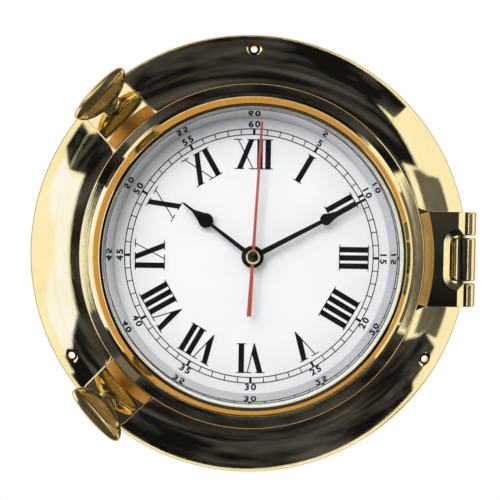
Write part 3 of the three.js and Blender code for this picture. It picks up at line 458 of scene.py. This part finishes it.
# Boards round the camera that only polished metal and glass see
darkCloth = {"deep": (0.007, 0.0075, 0.0105), "pale": (0.085, 0.085, 0.112), "grain": (2.0, 2.0, 5.0),
             "folds": (0.44, 0.66)}
greyCloth = {"deep": (0.09, 0.082, 0.085), "pale": (0.19, 0.175, 0.18), "grain": (2.0, 2.0, 5.0)}
coolCloth = {"deep": (1.0, 1.05, 1.45), "pale": (1.02, 1.10, 1.75), "grain": (1.3, 1.3, 1.3)}
boards = {
    "frontBoard": (darkCloth, ((-0.85, -0.55, -0.9), (1.0, -0.55, -0.9), (1.0, -0.55, -0.42), (0.74, -0.55, -0.36),
                               (0.45, -0.55, -0.25), (0.45, -0.55, 0.25), (0.74, -0.55, 0.36), (0.80, -0.55, 0.9),
                               (-0.64, -0.55, 0.9), (-0.40, -0.55, 0.43), (-0.63, -0.55, 0.51), (-1.15, -0.55, 0.82),
                               (-1.15, -0.55, 0.50), (-0.54, -0.55, 0.24), (-0.54, -0.55, -0.22), (-0.95, -0.55, -0.50),
                               (-1.2, -0.55, -0.70), (-1.2, -0.55, -0.9))),
    "lowLeftBoard": (darkCloth, ((-1.19, -0.55, -0.70), (-1.19, -0.08, -0.74), (-1.19, -0.08, -0.9),
                                 (-1.19, -0.55, -0.9))),
    "highLeftBoard": (darkCloth, ((-1.19, -0.55, 0.52), (-1.19, -0.08, 0.66), (-1.19, -0.08, 0.9),
                                  (-1.19, -0.55, 0.86))),
    "topBoard": (darkCloth, ((-0.95, -0.55, 0.9), (1.0, -0.55, 0.9), (1.0, 0.1, 0.9), (-0.95, 0.1, 0.9))),
    "lowBoard": (darkCloth, ((-1.2, -0.55, -0.9), (1.3, -0.55, -0.9), (1.1, 0.1, -0.9), (-1.2, 0.1, -0.9))),
    "lowRightBoard": (darkCloth, ((1.0, -0.55, -0.9), (1.0, -0.12, -0.9), (1.0, -0.12, -0.5), (1.0, -0.55, -0.45))),
    "sideBoard": (greyCloth, ((0.74, -0.55, -0.35), (1.0, -0.55, -0.42), (1.0, -0.55, 0.42), (0.74, -0.55, 0.35),
                              (0.58, -0.55, 0.28), (0.58, -0.55, -0.28))),
    "rightBoard": (greyCloth, ((1.0, -0.55, -0.45), (1.0, -0.20, -0.45), (1.0, -0.25, 0.38), (1.0, -0.55, 0.42))),
    "leftBoard": (coolCloth, ((-0.60, -0.56, -0.35), (-1.2, -0.56, -0.7), (-1.05, -0.56, -0.05),
                              (-1.2, -0.56, 0.5), (-0.60, -0.56, 0.25))),
    "leftLowBoard": (coolCloth, ((-1.2, -0.56, -0.68), (-1.2, -0.20, -0.70), (-1.2, -0.15, -0.35),
                                 (-1.2, -0.56, -0.1))),
    "leftHighBoard": (coolCloth, ((-1.2, -0.56, 0.1), (-1.2, -0.15, 0.35), (-1.2, -0.20, 0.6), (-1.2, -0.56, 0.5))),
    "highStrip": (greyCloth, ((-0.27, -0.545, 0.334), (-0.325, -0.545, 0.282), (-0.498, -0.545, 0.433),
                              (-0.415, -0.545, 0.513))),
    "lowStrip": (greyCloth, ((-0.34, -0.545, -0.295), (-0.283, -0.545, -0.35), (-0.472, -0.545, -0.583),
                             (-0.566, -0.545, -0.492))),
    "tableBoard": ({"deep": (0.58, 0.30, 0.09), "pale": (0.64, 0.35, 0.11), "grain": (3.0, 3.0, 3.0)},
                   ((-0.7, 0.15, -0.7), (-0.7, 0.15, 0.7), (0.7, 0.15, 0.7), (0.7, 0.15, -0.7))),
}
for name, (look, corners) in boards.items():
    bm = bmesh.new()
    bm.faces.new([bm.verts.new(corner) for corner in corners])
    made = asObject(bm, name)
    made.data.materials.append(makeGlow(name, look))
    made.visible_camera = made.visible_diffuse = made.visible_shadow = made.visible_volume_scatter = False
    made.visible_transmission = name != "tableBoard"  # it would colour what is seen through the open door

floor = {"height": -0.26, "front": -1.4, "back": 0.25, "side": 1.2}
bm = bmesh.new()
bm.faces.new([bm.verts.new((x, y, floor["height"])) for x, y in (
    (-floor["side"], floor["front"]), (floor["side"], floor["front"]),
    (floor["side"], floor["back"]), (-floor["side"], floor["back"]))])
floorPlane = asObject(bm, "floor")
floorPlane.data.materials.append(makeSolid("floorPaint", {
    "pale": (0.86, 0.86, 0.86), "deep": (0.83, 0.83, 0.83), "rough": (0.7, 0.8),
    "grains": 300.0, "clouds": 6.0, "bump": 0.02, "depth": 0.0005}))
floorPlane.visible_glossy = False
print("studio set")


# Flange: domed shell with the door's seat, the spigot for the dial and its holes

dog = {"circle": 91.5, "turns": {"upper": 134, "lower": 226}, "lean": 22.0, "face": 20.44,
       "reach": 9.2, "depth": 5.0, "bossTop": 1.2, "socket": 3.7, "wall": 3.1}


def atDog(side):
    return (Matrix.Rotation(math.radians(dog["turns"][side]), 4, "Z")
            @ Matrix.Translation((dog["circle"], 0, dog["face"]))
            @ Matrix.Rotation(math.radians(dog["lean"]), 4, "Y"))


flange = {"radius": 102.5, "rim": 2.5, "wall": 3.0, "seat": 15.0, "domeInner": 76.6, "domeSlope": 8.0,
          "domeSteps": 30, "groove": (69.05, 71.85, 13.8), "spigot": 64.8, "spigotWall": 3.0,
          "ledge": (58.0, 17.95, 20.95), "rimRound": 0.5, "rimRoll": 0.9,
          "mountCircle": 95.0, "mountTurns": (90, 210, 330), "mountHole": 1.6, "sink": (3.6, 2.0),
          "coverCircle": 80.0, "coverTurns": (30, 150, 270), "coverBoss": (4.0, 1.9), "coverHole": (1.8, 7.3),
          "bracketPads": ((94.9, 5.5), (94.9, -5.5)), "padBoss": (5.0, 4.0), "padHole": 2.3,
          "bossEdge": 0.9, "bossSink": 0.6, "drillBelow": 1.0, "drillAbove": 6.0}


def domeArc(steps, offset=0.0):
    start = Vector((flange["domeInner"], flange["seat"]))
    lean = math.radians(flange["domeSlope"])
    span = Vector((flange["radius"], flange["rim"])) - start
    normal = Vector((math.sin(lean), math.cos(lean)))
    radius = -span.length_squared / (2 * span.dot(normal))
    centre = start - normal * radius
    last = math.asin((flange["radius"] - centre.x) / radius)
    tilts = [lean + (last - lean) * i / steps for i in range(steps + 1)]
    return [(centre.x + (radius + offset) * math.sin(t), centre.y + (radius + offset) * math.cos(t)) for t in tilts]


def domeHeight(radius):
    arc = domeArc(200)
    return min(arc, key=lambda p: abs(p[0] - radius))[1]


def post(radius, bottom, top, x, y, steps=48):
    bm = turned([(0, bottom), (radius, bottom), (radius, top), (0, top)], steps)
    return move(bm, Matrix.Translation((x, y, 0)))


grooveIn, grooveOut, grooveFloor = flange["groove"]
ledgeIn, ledgeLow, ledgeTop = flange["ledge"]
spigotIn = flange["spigot"] - flange["spigotWall"]
outside, inside = domeArc(flange["domeSteps"]), domeArc(10, -flange["wall"])
flangeProfile = [(inside[-1][0], 0), (flange["radius"] - flange["rimRound"], 0),
                 (flange["radius"], flange["rimRound"])]
flangeProfile += outside[::-1]
flangeProfile += [(grooveOut, flange["seat"]), (grooveOut, grooveFloor), (grooveIn, grooveFloor),
                  (grooveIn, flange["seat"]), (flange["spigot"], flange["seat"]), (flange["spigot"], ledgeTop),
                  (ledgeIn, ledgeTop), (ledgeIn, ledgeLow), (spigotIn, ledgeLow),
                  (spigotIn, flange["seat"] - flange["wall"])]
flangeProfile += inside
flangeBody = turned(flangeProfile, ringSteps, {3: flange["rimRoll"]}, 6)
drillFrom = -flange["drillBelow"]
bosses = [(flange["coverBoss"], polar(flange["coverCircle"], turnTo)) for turnTo in flange["coverTurns"]]
bosses += [(flange["padBoss"], place) for place in flange["bracketPads"]]
for (radius, bottom), (x, y) in bosses:
    top = domeHeight(math.hypot(x, y) + radius * flange["bossEdge"]) - flange["bossSink"]
    flangeBody = carve(flangeBody, post(radius, bottom, top, x, y), "UNION")
for side in dog["turns"]:
    boss = post(dog["socket"] + dog["wall"], -dog["reach"] - dog["depth"], -dog["reach"] - dog["bossTop"], 0, 0)
    flangeBody = carve(flangeBody, move(boss, atDog(side)), "UNION")
    socket = post(dog["socket"], -dog["reach"] - 2 * dog["depth"], 0, 0, 0)
    flangeBody = carve(flangeBody, move(socket, atDog(side)))
for turnTo in flange["mountTurns"]:
    x, y = polar(flange["mountCircle"], turnTo)
    face = domeHeight(flange["mountCircle"])
    sinkRadius, sinkDepth = flange["sink"]
    drillTo = face + flange["drillAbove"]
    hole = turned([(0, drillFrom), (flange["mountHole"], drillFrom), (flange["mountHole"], face - sinkDepth),
                   (sinkRadius, face), (sinkRadius, drillTo), (0, drillTo)], 48)
    flangeBody = carve(flangeBody, move(hole, Matrix.Translation((x, y, 0))))
for place in flange["bracketPads"]:
    flangeBody = carve(flangeBody, post(flange["padHole"], drillFrom, flange["seat"], *place))
holeRadius, holeTop = flange["coverHole"]
for turnTo in flange["coverTurns"]:
    x, y = polar(flange["coverCircle"], turnTo)
    flangeBody = carve(flangeBody, post(holeRadius, drillFrom, holeTop, x, y, steps=24))
dress(flangeBody, "flange_body", "polishedBrass", "polished_brass", "base", "base_flange")
print("flange made")


# Door: turned ring, two lugs and the hinge leaf with its knuckles

door = {"bore": 66.1, "outer": 74.8, "bottom": 15.4, "shoulder": 32.0, "break": (70.4, 33.3), "valley": (68.9, 34.1),
        "crest": (65.3, 38.8), "lip": (63.9, 36.6), "footRound": 0.4, "edgeRound": 0.7, "breakRound": 0.15,
        "valleyRound": 0.15, "crestRound": 0.35, "lipRound": 0.25}
lug = {"root": 67.5, "top": 24.6, "bottom": 20.1, "halfWidth": 12.3, "flare": 2.2, "flareFrom": 72.6, "flareTo": 77.0,
       "reach": 97.0, "corner": 4.1, "flareRound": 3.0, "edge": 0.7, "bore": 2.9,
       "coveTop": (75.0, 31.7), "coveFoot": 81.2, "coveToe": (0.2, 0.05), "coveSink": 1.5, "coveHollow": 0.14,
       "coveSteps": 8}
leaf = {"halfWidth": 21.2, "end": 94.3, "bottom": 20.8, "top": 25.15, "cut": 87.8, "cutHalf": 10.8, "cutRound": 4.0,
        "slope": (2.9, 0.56), "edge": 0.5, "slack": 0.01}
hinge = {"x": 94.9, "height": 18.55, "barrel": 6.05, "pinHole": 2.05, "pin": 1.75, "baseHalf": 9.7,
         "doorFrom": 10.8, "doorTo": 21.2, "endRound": 0.8, "pinRound": 0.5,
         "blockWidth": 10.8, "blockShort": 0.4, "blockSink": 0.1, "blockRound": 0.8}

ring = turned([
    (door["bore"], door["bottom"]), (door["outer"], door["bottom"]), (door["outer"], door["shoulder"]),
    door["break"], door["valley"], door["crest"], (door["lip"][0], door["crest"][1]), door["lip"],
    (door["bore"], door["lip"][1]),
], ringSteps, {1: door["footRound"], 2: door["edgeRound"], 3: door["breakRound"], 4: door["valleyRound"],
               5: door["crestRound"], 6: door["lipRound"]}, 4)


def lugOutline(halfWidth, reach):
    flared = halfWidth + lug["flare"]
    side = [(lug["root"], flared), (lug["flareFrom"], flared), (lug["flareTo"], halfWidth), (reach, halfWidth)]
    return [(x, -y) for x, y in side] + side[::-1]


def cove(halfWidth):
    foot, (topRadius, topHeight) = lug["coveFoot"], lug["coveTop"]
    (toe, toeDrop), sunk, hollow = lug["coveToe"], lug["top"] - lug["coveSink"], lug["coveHollow"]
    section = [(lug["flareFrom"], sunk), (foot + toe, sunk), (foot + toe, lug["top"] - toeDrop)]
    rise = topHeight - lug["top"]
    for i in range(lug["coveSteps"] + 1):  # slightly hollow slope up to the shoulder
        t = i / lug["coveSteps"]
        section.append((foot + (topRadius - foot) * t, lug["top"] + rise * ((1 - hollow) * t + hollow * t * t)))
    section.append((lug["flareFrom"], topHeight))
    reach = math.asin(halfWidth / foot)
    bm = bmesh.new()
    verts = [bm.verts.new((radius, 0, height)) for radius, height in section]
    start = bm.faces.new(verts)
    bmesh.ops.rotate(bm, cent=(0, 0, 0), matrix=Matrix.Rotation(-reach, 3, "Z"), verts=verts)
    bmesh.ops.spin(bm, geom=[start, *start.edges, *verts], cent=(0, 0, 0), axis=(0, 0, 1), angle=2 * reach, steps=24)
    mergeAndFace(bm)
    return bm


coves = bmesh.new()
stretch = 1 / math.cos(math.radians(dog["lean"]))
for side, turnTo in dog["turns"].items():
    under = (lug["bottom"] - lug["top"]) / stretch
    outline = [((x - lug["coveFoot"]) * stretch, y) for x, y in lugOutline(lug["halfWidth"], lug["reach"])]
    plate = slab(outline, under, 0,
                 {3: lug["corner"], 4: lug["corner"], 2: lug["flareRound"], 5: lug["flareRound"]})
    softenEdges(plate, edgesAt(plate, 0) + edgesAt(plate, under), lug["edge"], 3)
    plate = carve(plate, post(lug["bore"], under - 1, 1, (dog["circle"] - lug["coveFoot"]) * stretch, 0))
    move(plate, Matrix.Translation((lug["coveFoot"], 0, lug["top"]))
         @ Matrix.Rotation(math.radians(dog["lean"]), 4, "Y"))
    addTo(coves, move(cove(lug["halfWidth"]), Matrix.Rotation(math.radians(turnTo), 4, "Z")))
    addTo(ring, move(plate, Matrix.Rotation(math.radians(turnTo), 4, "Z")))

side = [(lug["root"], leaf["halfWidth"] + lug["flare"]), (lug["flareFrom"], leaf["halfWidth"] + lug["flare"]),
        (lug["flareTo"], leaf["halfWidth"]), (leaf["end"], leaf["halfWidth"]), (leaf["end"], leaf["cutHalf"]),
        (leaf["cut"], leaf["cutHalf"])]
leafPlate = slab([(x, -y) for x, y in side] + side[::-1], leaf["bottom"], leaf["top"],
                 {5: leaf["cutRound"], 6: leaf["cutRound"], 2: lug["flareRound"], 9: lug["flareRound"]}, 10)


def onSide(a, b):
    return min(abs(a.y), abs(b.y)) > leaf["halfWidth"] - leaf["slack"]


def inCut(a, b):
    alongSide = onSide(a, b) and abs(a.y - b.y) < leaf["slack"]
    return min(a.x, b.x) > leaf["cut"] - leaf["slack"] and not alongSide


slopeWidth, slopeDrop = leaf["slope"]
softenEdges(leafPlate, edgesAt(leafPlate, leaf["top"], inCut), slopeWidth, 1, False)
for vert in leafPlate.verts:
    if abs(vert.co.z - leaf["top"] + slopeWidth) < near:
        vert.co.z = leaf["top"] - slopeDrop
softenEdges(leafPlate, edgesAt(leafPlate, leaf["top"], onSide), leaf["edge"], 3)
dress(leafPlate, "door_leaf", "polishedBrass", "polished_brass", "door", sharp=9)
addTo(coves, cove(leaf["halfWidth"]))
dress(coves, "door_coves", "satinBrass", "plain_brass", "door")


def alongPin(bm):
    return move(bm, Matrix.Translation((hinge["x"], 0, hinge["height"])) @ Matrix.Rotation(math.radians(90), 4, "X"))


def knuckle(start, end):
    return alongPin(turned([(hinge["pinHole"], start), (hinge["barrel"], start), (hinge["barrel"], end),
                            (hinge["pinHole"], end)], 96, {1: hinge["endRound"], 2: hinge["endRound"]}))


for start, end in ((hinge["doorFrom"], hinge["doorTo"]), (-hinge["doorTo"], -hinge["doorFrom"])):
    addTo(ring, knuckle(start, end))
dress(ring, "door_ring", "polishedBrass", "polished_brass", "door", "bezel_ring")

block = bmesh.new()
bmesh.ops.create_cube(block, size=1.0)
high, low = hinge["height"], 0.0
move(block, Matrix.Translation((hinge["x"], 0, (high + low) / 2))
     @ Matrix.Diagonal((hinge["blockWidth"], 2 * hinge["baseHalf"] - hinge["blockShort"], high - low, 1)))
nearEdge, farEdge = hinge["x"] - hinge["blockWidth"] / 2, hinge["x"] + hinge["blockWidth"] / 2
nearFoot, farFoot = domeHeight(nearEdge) - hinge["blockSink"], domeHeight(farEdge) - hinge["blockSink"]
bmesh.ops.bisect_plane(block, geom=block.verts[:] + block.edges[:] + block.faces[:],
                       plane_co=(nearEdge, 0, nearFoot),
                       plane_no=(-(farFoot - nearFoot), 0, farEdge - nearEdge), clear_inner=True)
bmesh.ops.holes_fill(block, edges=[e for e in block.edges if e.is_boundary])
standing = [e for e in block.edges if (e.verts[0].co.xy - e.verts[1].co.xy).length < merging]
softenEdges(block, standing, hinge["blockRound"], 3)
bmesh.ops.recalc_face_normals(block, faces=block.faces[:])
addTo(block, knuckle(-hinge["baseHalf"], hinge["baseHalf"]))
dress(block, "hinge_block", "polishedBrass", "polished_brass", "base", "hinge_bracket")

pin = alongPin(turned([(0, -hinge["doorTo"]), (hinge["pin"], -hinge["doorTo"]), (hinge["pin"], hinge["doorTo"]),
                       (0, hinge["doorTo"])], 48, {1: hinge["pinRound"], 2: hinge["pinRound"]}))
dress(pin, "pin", "polishedBrass", "polished_brass", "base", "hinge_pin")
print("door and hinge made")


# Wing screws: a rounded boat of a wing on a turned hub

wing = {"half": 14.6, "foot": 1.8, "belly": 7.0, "side": 12.2, "top": 15.8, "thick": 5.6, "round": 2.6,
        "endThin": 0.3, "web": (0.5, 1.1), "webShort": 0.99, "skin": 0.06, "merging": 0.05,
        "hub": (5.0, 0.3, 3.6), "hubDome": 0.6, "hubRound": 1.6, "shank": (2.5, -11.4), "shankRound": 0.5,
        "steps": 14, "twist": {"upper": 4.0, "lower": -5.0}}


def bezier(points, steps):
    found = []
    for i in range(steps):
        t, row = i / steps, [Vector(p) for p in points]
        while len(row) > 1:
            row = [a.lerp(b, t) for a, b in zip(row, row[1:])]
        found.append(tuple(row[0]))
    return found


def wingScrew():
    half, steps = wing["half"], wing["steps"]
    side = bezier([(0, wing["foot"]), (half / 2, wing["foot"]), (half, wing["belly"]), (half, wing["side"])], steps)
    side += bezier([(half, wing["side"]), (half, wing["top"]), (0, wing["top"])], steps)
    outline = side + [(-x, z) for x, z in [(0, wing["top"])] + side[:0:-1]]
    bm = slab(outline, -wing["thick"] / 2, wing["thick"] / 2)
    rims = edgesAt(bm, wing["thick"] / 2) + edgesAt(bm, -wing["thick"] / 2)
    softenEdges(bm, rims, wing["round"], 10, False)
    mergeAndFace(bm, wing["merging"])
    caps = sorted(bm.faces, key=lambda face: face.calc_area())[-2:]
    wall, sunk = wing["web"]
    bmesh.ops.inset_region(bm, faces=caps, thickness=wall, depth=-sunk)
    webs, skin = bmesh.new(), wing["skin"]
    for cap in caps:
        level = cap.verts[0].co.z
        face = [(v.co.x * wing["webShort"], v.co.y) for v in cap.verts]
        addTo(webs, slab(face, level - skin, level + skin))
    for part in (bm, webs):
        for vert in part.verts:  # thinner towards the ends
            vert.co.z *= 1 - wing["endThin"] * (vert.co.x / half) ** 2
        move(part, Matrix.Rotation(math.radians(90), 4, "Z") @ Matrix.Rotation(math.radians(90), 4, "X"))
    hubRadius, hubLow, hubHigh = wing["hub"]
    shankRadius, shankEnd = wing["shank"]
    rounds = {1: wing["shankRound"], 3: wing["shankRound"], 4: wing["hubRound"]}
    addTo(bm, turned([(0, shankEnd), (shankRadius, shankEnd), (shankRadius, hubLow), (hubRadius, hubLow),
                      (hubRadius, hubHigh - wing["hubDome"]), (0, hubHigh)], 64, rounds, 6))
    return bm, webs


for side in dog["turns"]:
    twist = Matrix.Rotation(math.radians(wing["twist"][side]), 4, "Z")
    screw, webs = (move(part, atDog(side) @ twist) for part in wingScrew())
    dress(webs, f"wing_web_{side}", "rawBrass", "plain_brass", f"dog_{side}")
    dress(screw, f"wing_{side}", "castBrass", "polished_brass", f"dog_{side}", f"wing_screw_{side}", sharp=50)
print("wing screws made")


# Glass, its gasket and the mirror ring

glazing = {"radius": 65.8, "glass": (34.3, 36.3), "glassRound": 0.3,
           "gasketIn": 63.5, "gasket": (33.2, 34.0), "gasketRound": 0.2}
low, high = glazing["glass"]
glass = turned([(0, low), (glazing["radius"], low), (glazing["radius"], high), (0, high)], 192,
               {1: glazing["glassRound"], 2: glazing["glassRound"]}, 2)
dress(glass, "door_glass", "lensGlass", "lens_glass", "door", "lens", sharp=10)
low, high = glazing["gasket"]
gasket = turned([(glazing["gasketIn"], low), (glazing["radius"], low), (glazing["radius"], high),
                 (glazing["gasketIn"], high)], 192, {0: glazing["gasketRound"], 3: glazing["gasketRound"]}, 3)
dress(gasket, "glass_gasket", "paleSilicone", "pale_silicone", "door", "lens_gasket")

mirror = {"foot": 61.1, "top": 63.2, "wall": 0.5, "low": 22.55, "high": 32.6, "base": (64.3, 0.8), "baseLean": 0.14,
          "edge": 0.15}
baseRadius, baseHeight = mirror["base"]
baseTop = mirror["low"] + baseHeight
mirrorRing = turned([
    (mirror["foot"], mirror["low"]), (baseRadius, mirror["low"]), (baseRadius, baseTop),
    (mirror["foot"] + mirror["wall"] + mirror["baseLean"], baseTop),
    (mirror["top"] + mirror["wall"], mirror["high"]), (mirror["top"], mirror["high"]),
], ringSteps, {4: mirror["edge"], 5: mirror["edge"]}, 2)
dress(mirrorRing, "mirror_ring", "brightAluminium", "mirror_aluminium", "base", "reflector_ring")
print("glazing made")


# Dial print: roman hours, a railway track and the minute figures

dial = {"face": 22.25, "ink": 0.05, "overlap": 0.002, "roman": (38.6, 51.9), "thick": 2.45, "hair": 0.5,
        "serif": 0.45, "serifReach": 0.85, "hairSerif": 2.0, "vWidth": 7.2, "vFoot": 0.3, "xWidth": 7.8, "xSpread": 0.8,
        "gap": 0.5, "flipped": ("V", "XI", "XII"), "track": (53.9, 56.4), "line": 0.45, "tick": 0.42, "fiveTick": 1.1,
        "figures": 58.3, "figureSize": 3.9, "figureBold": 0.15, "figureSpace": 1.3, "figureWide": 1.15,
        "upsideDown": (20, 25, 30, 35, 40)}
hours = ("I", "II", "III", "IIII", "V", "VI", "VII", "VIII", "IX", "X", "XI", "XII")
inkTop = dial["face"] + dial["ink"]


def inked(corners, lift=0.0):
    return slab(corners, dial["face"], inkTop + lift)


def strokeCorners(low, high, width):
    (x0, y0), (x1, y1) = low, high
    return [(x0 - width / 2, y0), (x0 + width / 2, y0), (x1 + width / 2, y1), (x1 - width / 2, y1)]


def letter(kind, left, tall, flipped):
    thick, hair, reach, hairSerif = dial["thick"], dial["hair"], dial["serifReach"], dial["hairSerif"]
    if kind == "I":
        middle = left + reach + thick / 2
        strokes = [((middle, 0), (middle, tall), thick)]
        ends = [(middle, 0, thick), (middle, tall, thick)]
        width = thick + 2 * reach
    elif kind == "V":
        width = dial["vWidth"] + 2 * reach
        first, last = left + reach + thick / 2, left + width - reach - hair / 2
        foot = left + width / 2 + dial["vFoot"]
        strokes = [((foot, 0), (last, tall), hair)]
        ends = [(first, tall, thick), (last, tall, hairSerif)]
    else:
        width = dial["xWidth"] + 2 * reach
        first, last = left + reach + thick / 2, left + width - reach - thick / 2
        hairFoot, hairTop = first - dial["xSpread"], last + dial["xSpread"]
        strokes = [((last, 0), (first, tall), thick), ((hairFoot, 0), (hairTop, tall), hair)]
        ends = [(first, tall, thick), (hairTop, tall, hairSerif), (last, 0, thick), (hairFoot, 0, hairSerif)]
    shapes = [strokeCorners(*stroke) for stroke in strokes]
    if kind == "V":  # the broad stroke ends in a point where it meets the hairline
        meet = thick / (last - first + thick / 2)
        shapes.append([(first - thick / 2, tall), (foot - hair / 2, 0), (foot + hair / 2, 0),
                       (foot + (last - foot) * meet, meet * tall), (first + thick / 2, tall)])
    for x, y, across in ends:
        half, low = across / 2 + reach, y - (dial["serif"] if y else 0)
        high = low + dial["serif"]
        shapes.append([(x - half, low), (x + half, low), (x + half, high), (x - half, high)])
    if flipped:
        shapes = [[(2 * left + width - x, y) for x, y in corners][::-1] for corners in shapes]
    return shapes, width


numerals = bmesh.new()
inner, outer = dial["roman"]
for index, word in enumerate(hours):
    shapes, left = [], 0.0
    for kind in word:
        found, width = letter(kind, left, outer - inner, kind != "I" and word in dial["flipped"])
        shapes += found
        left += width - dial["gap"]
    middle = (left + dial["gap"]) / 2
    turnTo = Matrix.Rotation(math.radians(-30 * (index + 1)), 4, "Z")
    for number, corners in enumerate(shapes):
        mark = inked([(x - middle, inner + y) for x, y in corners], dial["overlap"] * number)
        addTo(numerals, move(mark, turnTo))
dress(numerals, "dial_hours", "printBlack", "hand_black", "base")

track = bmesh.new()
for radius in dial["track"]:
    half = dial["line"] / 2
    addTo(track, turned([(radius - half, dial["face"]), (radius + half, dial["face"]), (radius + half, inkTop),
                         (radius - half, inkTop)], 180))
low, high = dial["track"]
for minute in range(60):
    half = (dial["tick"] if minute % 5 else dial["fiveTick"]) / 2
    tick = inked([(-half, low), (half, low), (half, high), (-half, high)], 2 * dial["overlap"])
    addTo(track, move(tick, Matrix.Rotation(math.radians(-6 * minute), 4, "Z")))
dress(track, "dial_track", "printBlack", "hand_black", "base")


def figureMesh(words):
    text = bpy.data.curves.new("figure", "FONT")
    text.body, text.size, text.offset, text.extrude = words, dial["figureSize"], dial["figureBold"], dial["ink"] / 2
    text.align_x, text.align_y, text.resolution_u = "CENTER", "CENTER", 4
    text.space_character = dial["figureSpace"]
    holder = bpy.data.objects.new("figure", text)
    bpy.context.scene.collection.objects.link(holder)
    bpy.context.view_layer.update()
    mesh = bpy.data.meshes.new_from_object(holder.evaluated_get(bpy.context.evaluated_depsgraph_get()))
    bpy.data.objects.remove(holder)
    bpy.data.curves.remove(text)
    return mesh


figures = bmesh.new()
for minute in range(5, 65, 5):
    mesh = figureMesh(str(minute))
    mark = bmesh.new()
    mark.from_mesh(mesh)
    bpy.data.meshes.remove(mesh)
    bmesh.ops.remove_doubles(mark, verts=mark.verts[:], dist=merging)
    upside = 180 if minute in dial["upsideDown"] else 0
    move(mark, Matrix.Rotation(math.radians(-6 * minute), 4, "Z")
         @ Matrix.Translation((0, dial["figures"], dial["face"] + dial["ink"] / 2))
         @ Matrix.Rotation(math.radians(upside), 4, "Z") @ Matrix.Scale(dial["figureWide"], 4, (1, 0, 0)))
    addTo(figures, mark)
dress(figures, "dial_minutes", "printBlack", "hand_black", "base")
print("dial printed")


# Hands and their cap

hands = {
    "hour": {"tip": 38.4, "disc": (26.0, 3.3), "stem": (2.1, 1.4, 1.3), "hub": 4.9, "low": 25.75, "turn": 307,
             "bore": 2.4},
    "minute": {"tip": 55.4, "disc": (36.0, 2.6), "stem": (2.4, 1.8, 1.6), "hub": 4.7, "low": 27.65, "turn": 62,
               "bore": 1.75},
}
handShape = {"thick": 0.7, "edge": 0.14, "flare": 1.8, "arcSteps": 14, "hubProud": 0.003}
seconds = {"tip": 58.7, "tail": 25.9, "widths": (1.0, 1.3, 2.0), "hub": 2.2, "low": 29.55, "turn": 3, "bore": 0.65}
cap = {"radius": 3.1, "low": 30.55, "rim": 31.2, "high": 31.85, "slope": 0.9, "dish": 0.05,
       "rounds": {1: 0.15, 2: 0.35, 3: 0.5}}


def arc(middle, radius, start, end, steps):
    return [(radius * math.cos(start + (end - start) * i / steps),
             middle + radius * math.sin(start + (end - start) * i / steps)) for i in range(steps + 1)]


def hubDisc(radius, low, high, bore):
    low, high = low - handShape["hubProud"], high + handShape["hubProud"]
    return turned([(bore, low), (radius, low), (radius, high), (bore, high)], 64, {2: handShape["edge"]}, 3)


for name, hand in hands.items():
    at, discRadius = hand["disc"]
    base, end, tip = hand["stem"]
    neck = math.sqrt(discRadius ** 2 - (end / 2) ** 2)
    start = math.atan2(-neck, end / 2)
    point = at + discRadius + 2 * handShape["flare"]
    side = [(base / 2, hand["hub"] / 2)]
    side += arc(at, discRadius, start, math.pi / 4, handShape["arcSteps"])
    shoulder = (discRadius * math.sqrt(0.5), at + discRadius * math.sqrt(0.5))
    side += bezier([shoulder, (tip, at + discRadius + handShape["flare"]), (tip / 2, point)], 8)[1:]
    side += [(tip / 2, point), (tip / 3, hand["tip"])]
    high = hand["low"] + handShape["thick"]
    blade = slab(side + [(-x, y) for x, y in side[::-1]], hand["low"], high)
    softenEdges(blade, edgesAt(blade, high), handShape["edge"], 2)
    addTo(blade, hubDisc(hand["hub"], hand["low"], high, hand["bore"]))
    move(blade, Matrix.Rotation(math.radians(-hand["turn"]), 4, "Z"))
    dress(blade, f"{name}_blade", "handBlack", "hand_black", f"{name}s", f"{name}_hand")

tipWidth, hubWidth, tailWidth = seconds["widths"]
high = seconds["low"] + handShape["thick"]
blade = slab([(-tailWidth / 2, -seconds["tail"]), (tailWidth / 2, -seconds["tail"]), (hubWidth / 2, 0),
              (tipWidth / 2, seconds["tip"]), (-tipWidth / 2, seconds["tip"]), (-hubWidth / 2, 0)],
             seconds["low"], high)
softenEdges(blade, edgesAt(blade, high), handShape["edge"], 2)
addTo(blade, hubDisc(seconds["hub"], seconds["low"], high, seconds["bore"]))
move(blade, Matrix.Rotation(math.radians(-seconds["turn"]), 4, "Z"))
dress(blade, "second_blade", "handRed", "hand_red", "seconds", "second_hand")

dish = turned([(0, cap["low"]), (cap["radius"], cap["low"]), (cap["radius"], cap["rim"]),
               (cap["radius"] - cap["slope"], cap["high"]), (0, cap["rim"] + cap["dish"])], 96, cap["rounds"], 5)
dress(dish, "axis_cap", "polishedBrass", "polished_brass", "seconds", "second_hand_cap", sharp=50)
print("hands made")


# Pieces that keep their solids get their finishes

carried = {
    "plainBrass": ("lens_retaining_ring", "cannon_pinion", "centre_wheel", "dial_washer", "dial_nut"),
    "plainSteel": ("rear_cover_screw_1", "rear_cover_screw_2", "rear_cover_screw_3", "hinge_bracket_screw_upper",
                   "hinge_bracket_screw_lower", "wing_screw_clip_upper", "wing_screw_clip_lower", "quartz_crystal",
                   "motor_stator", "battery_contact_positive", "battery_contact_negative"),
    "dialPaintWithRimShade": ("dial_plate",),
    "blackPlastic": ("movement_case", "movement_cover", "setting_knob"),
    "whitePlastic": ("minute_wheel", "hour_wheel", "second_wheel", "third_wheel"),
    "blackRubber": ("door_seal", "dial_cushion"),
    "coverCoat": ("rear_cover",),
    "boardGreen": ("circuit_board",),
    "copperWire": ("motor_coil",),
    "cellJacket": ("battery",),
}
for finish, names in carried.items():
    for name in names:
        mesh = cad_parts[name].data
        mesh.materials.clear()
        mesh.materials.append(finishes[finish])
print("solids dressed:", sum(len(names) for names in carried.values()))
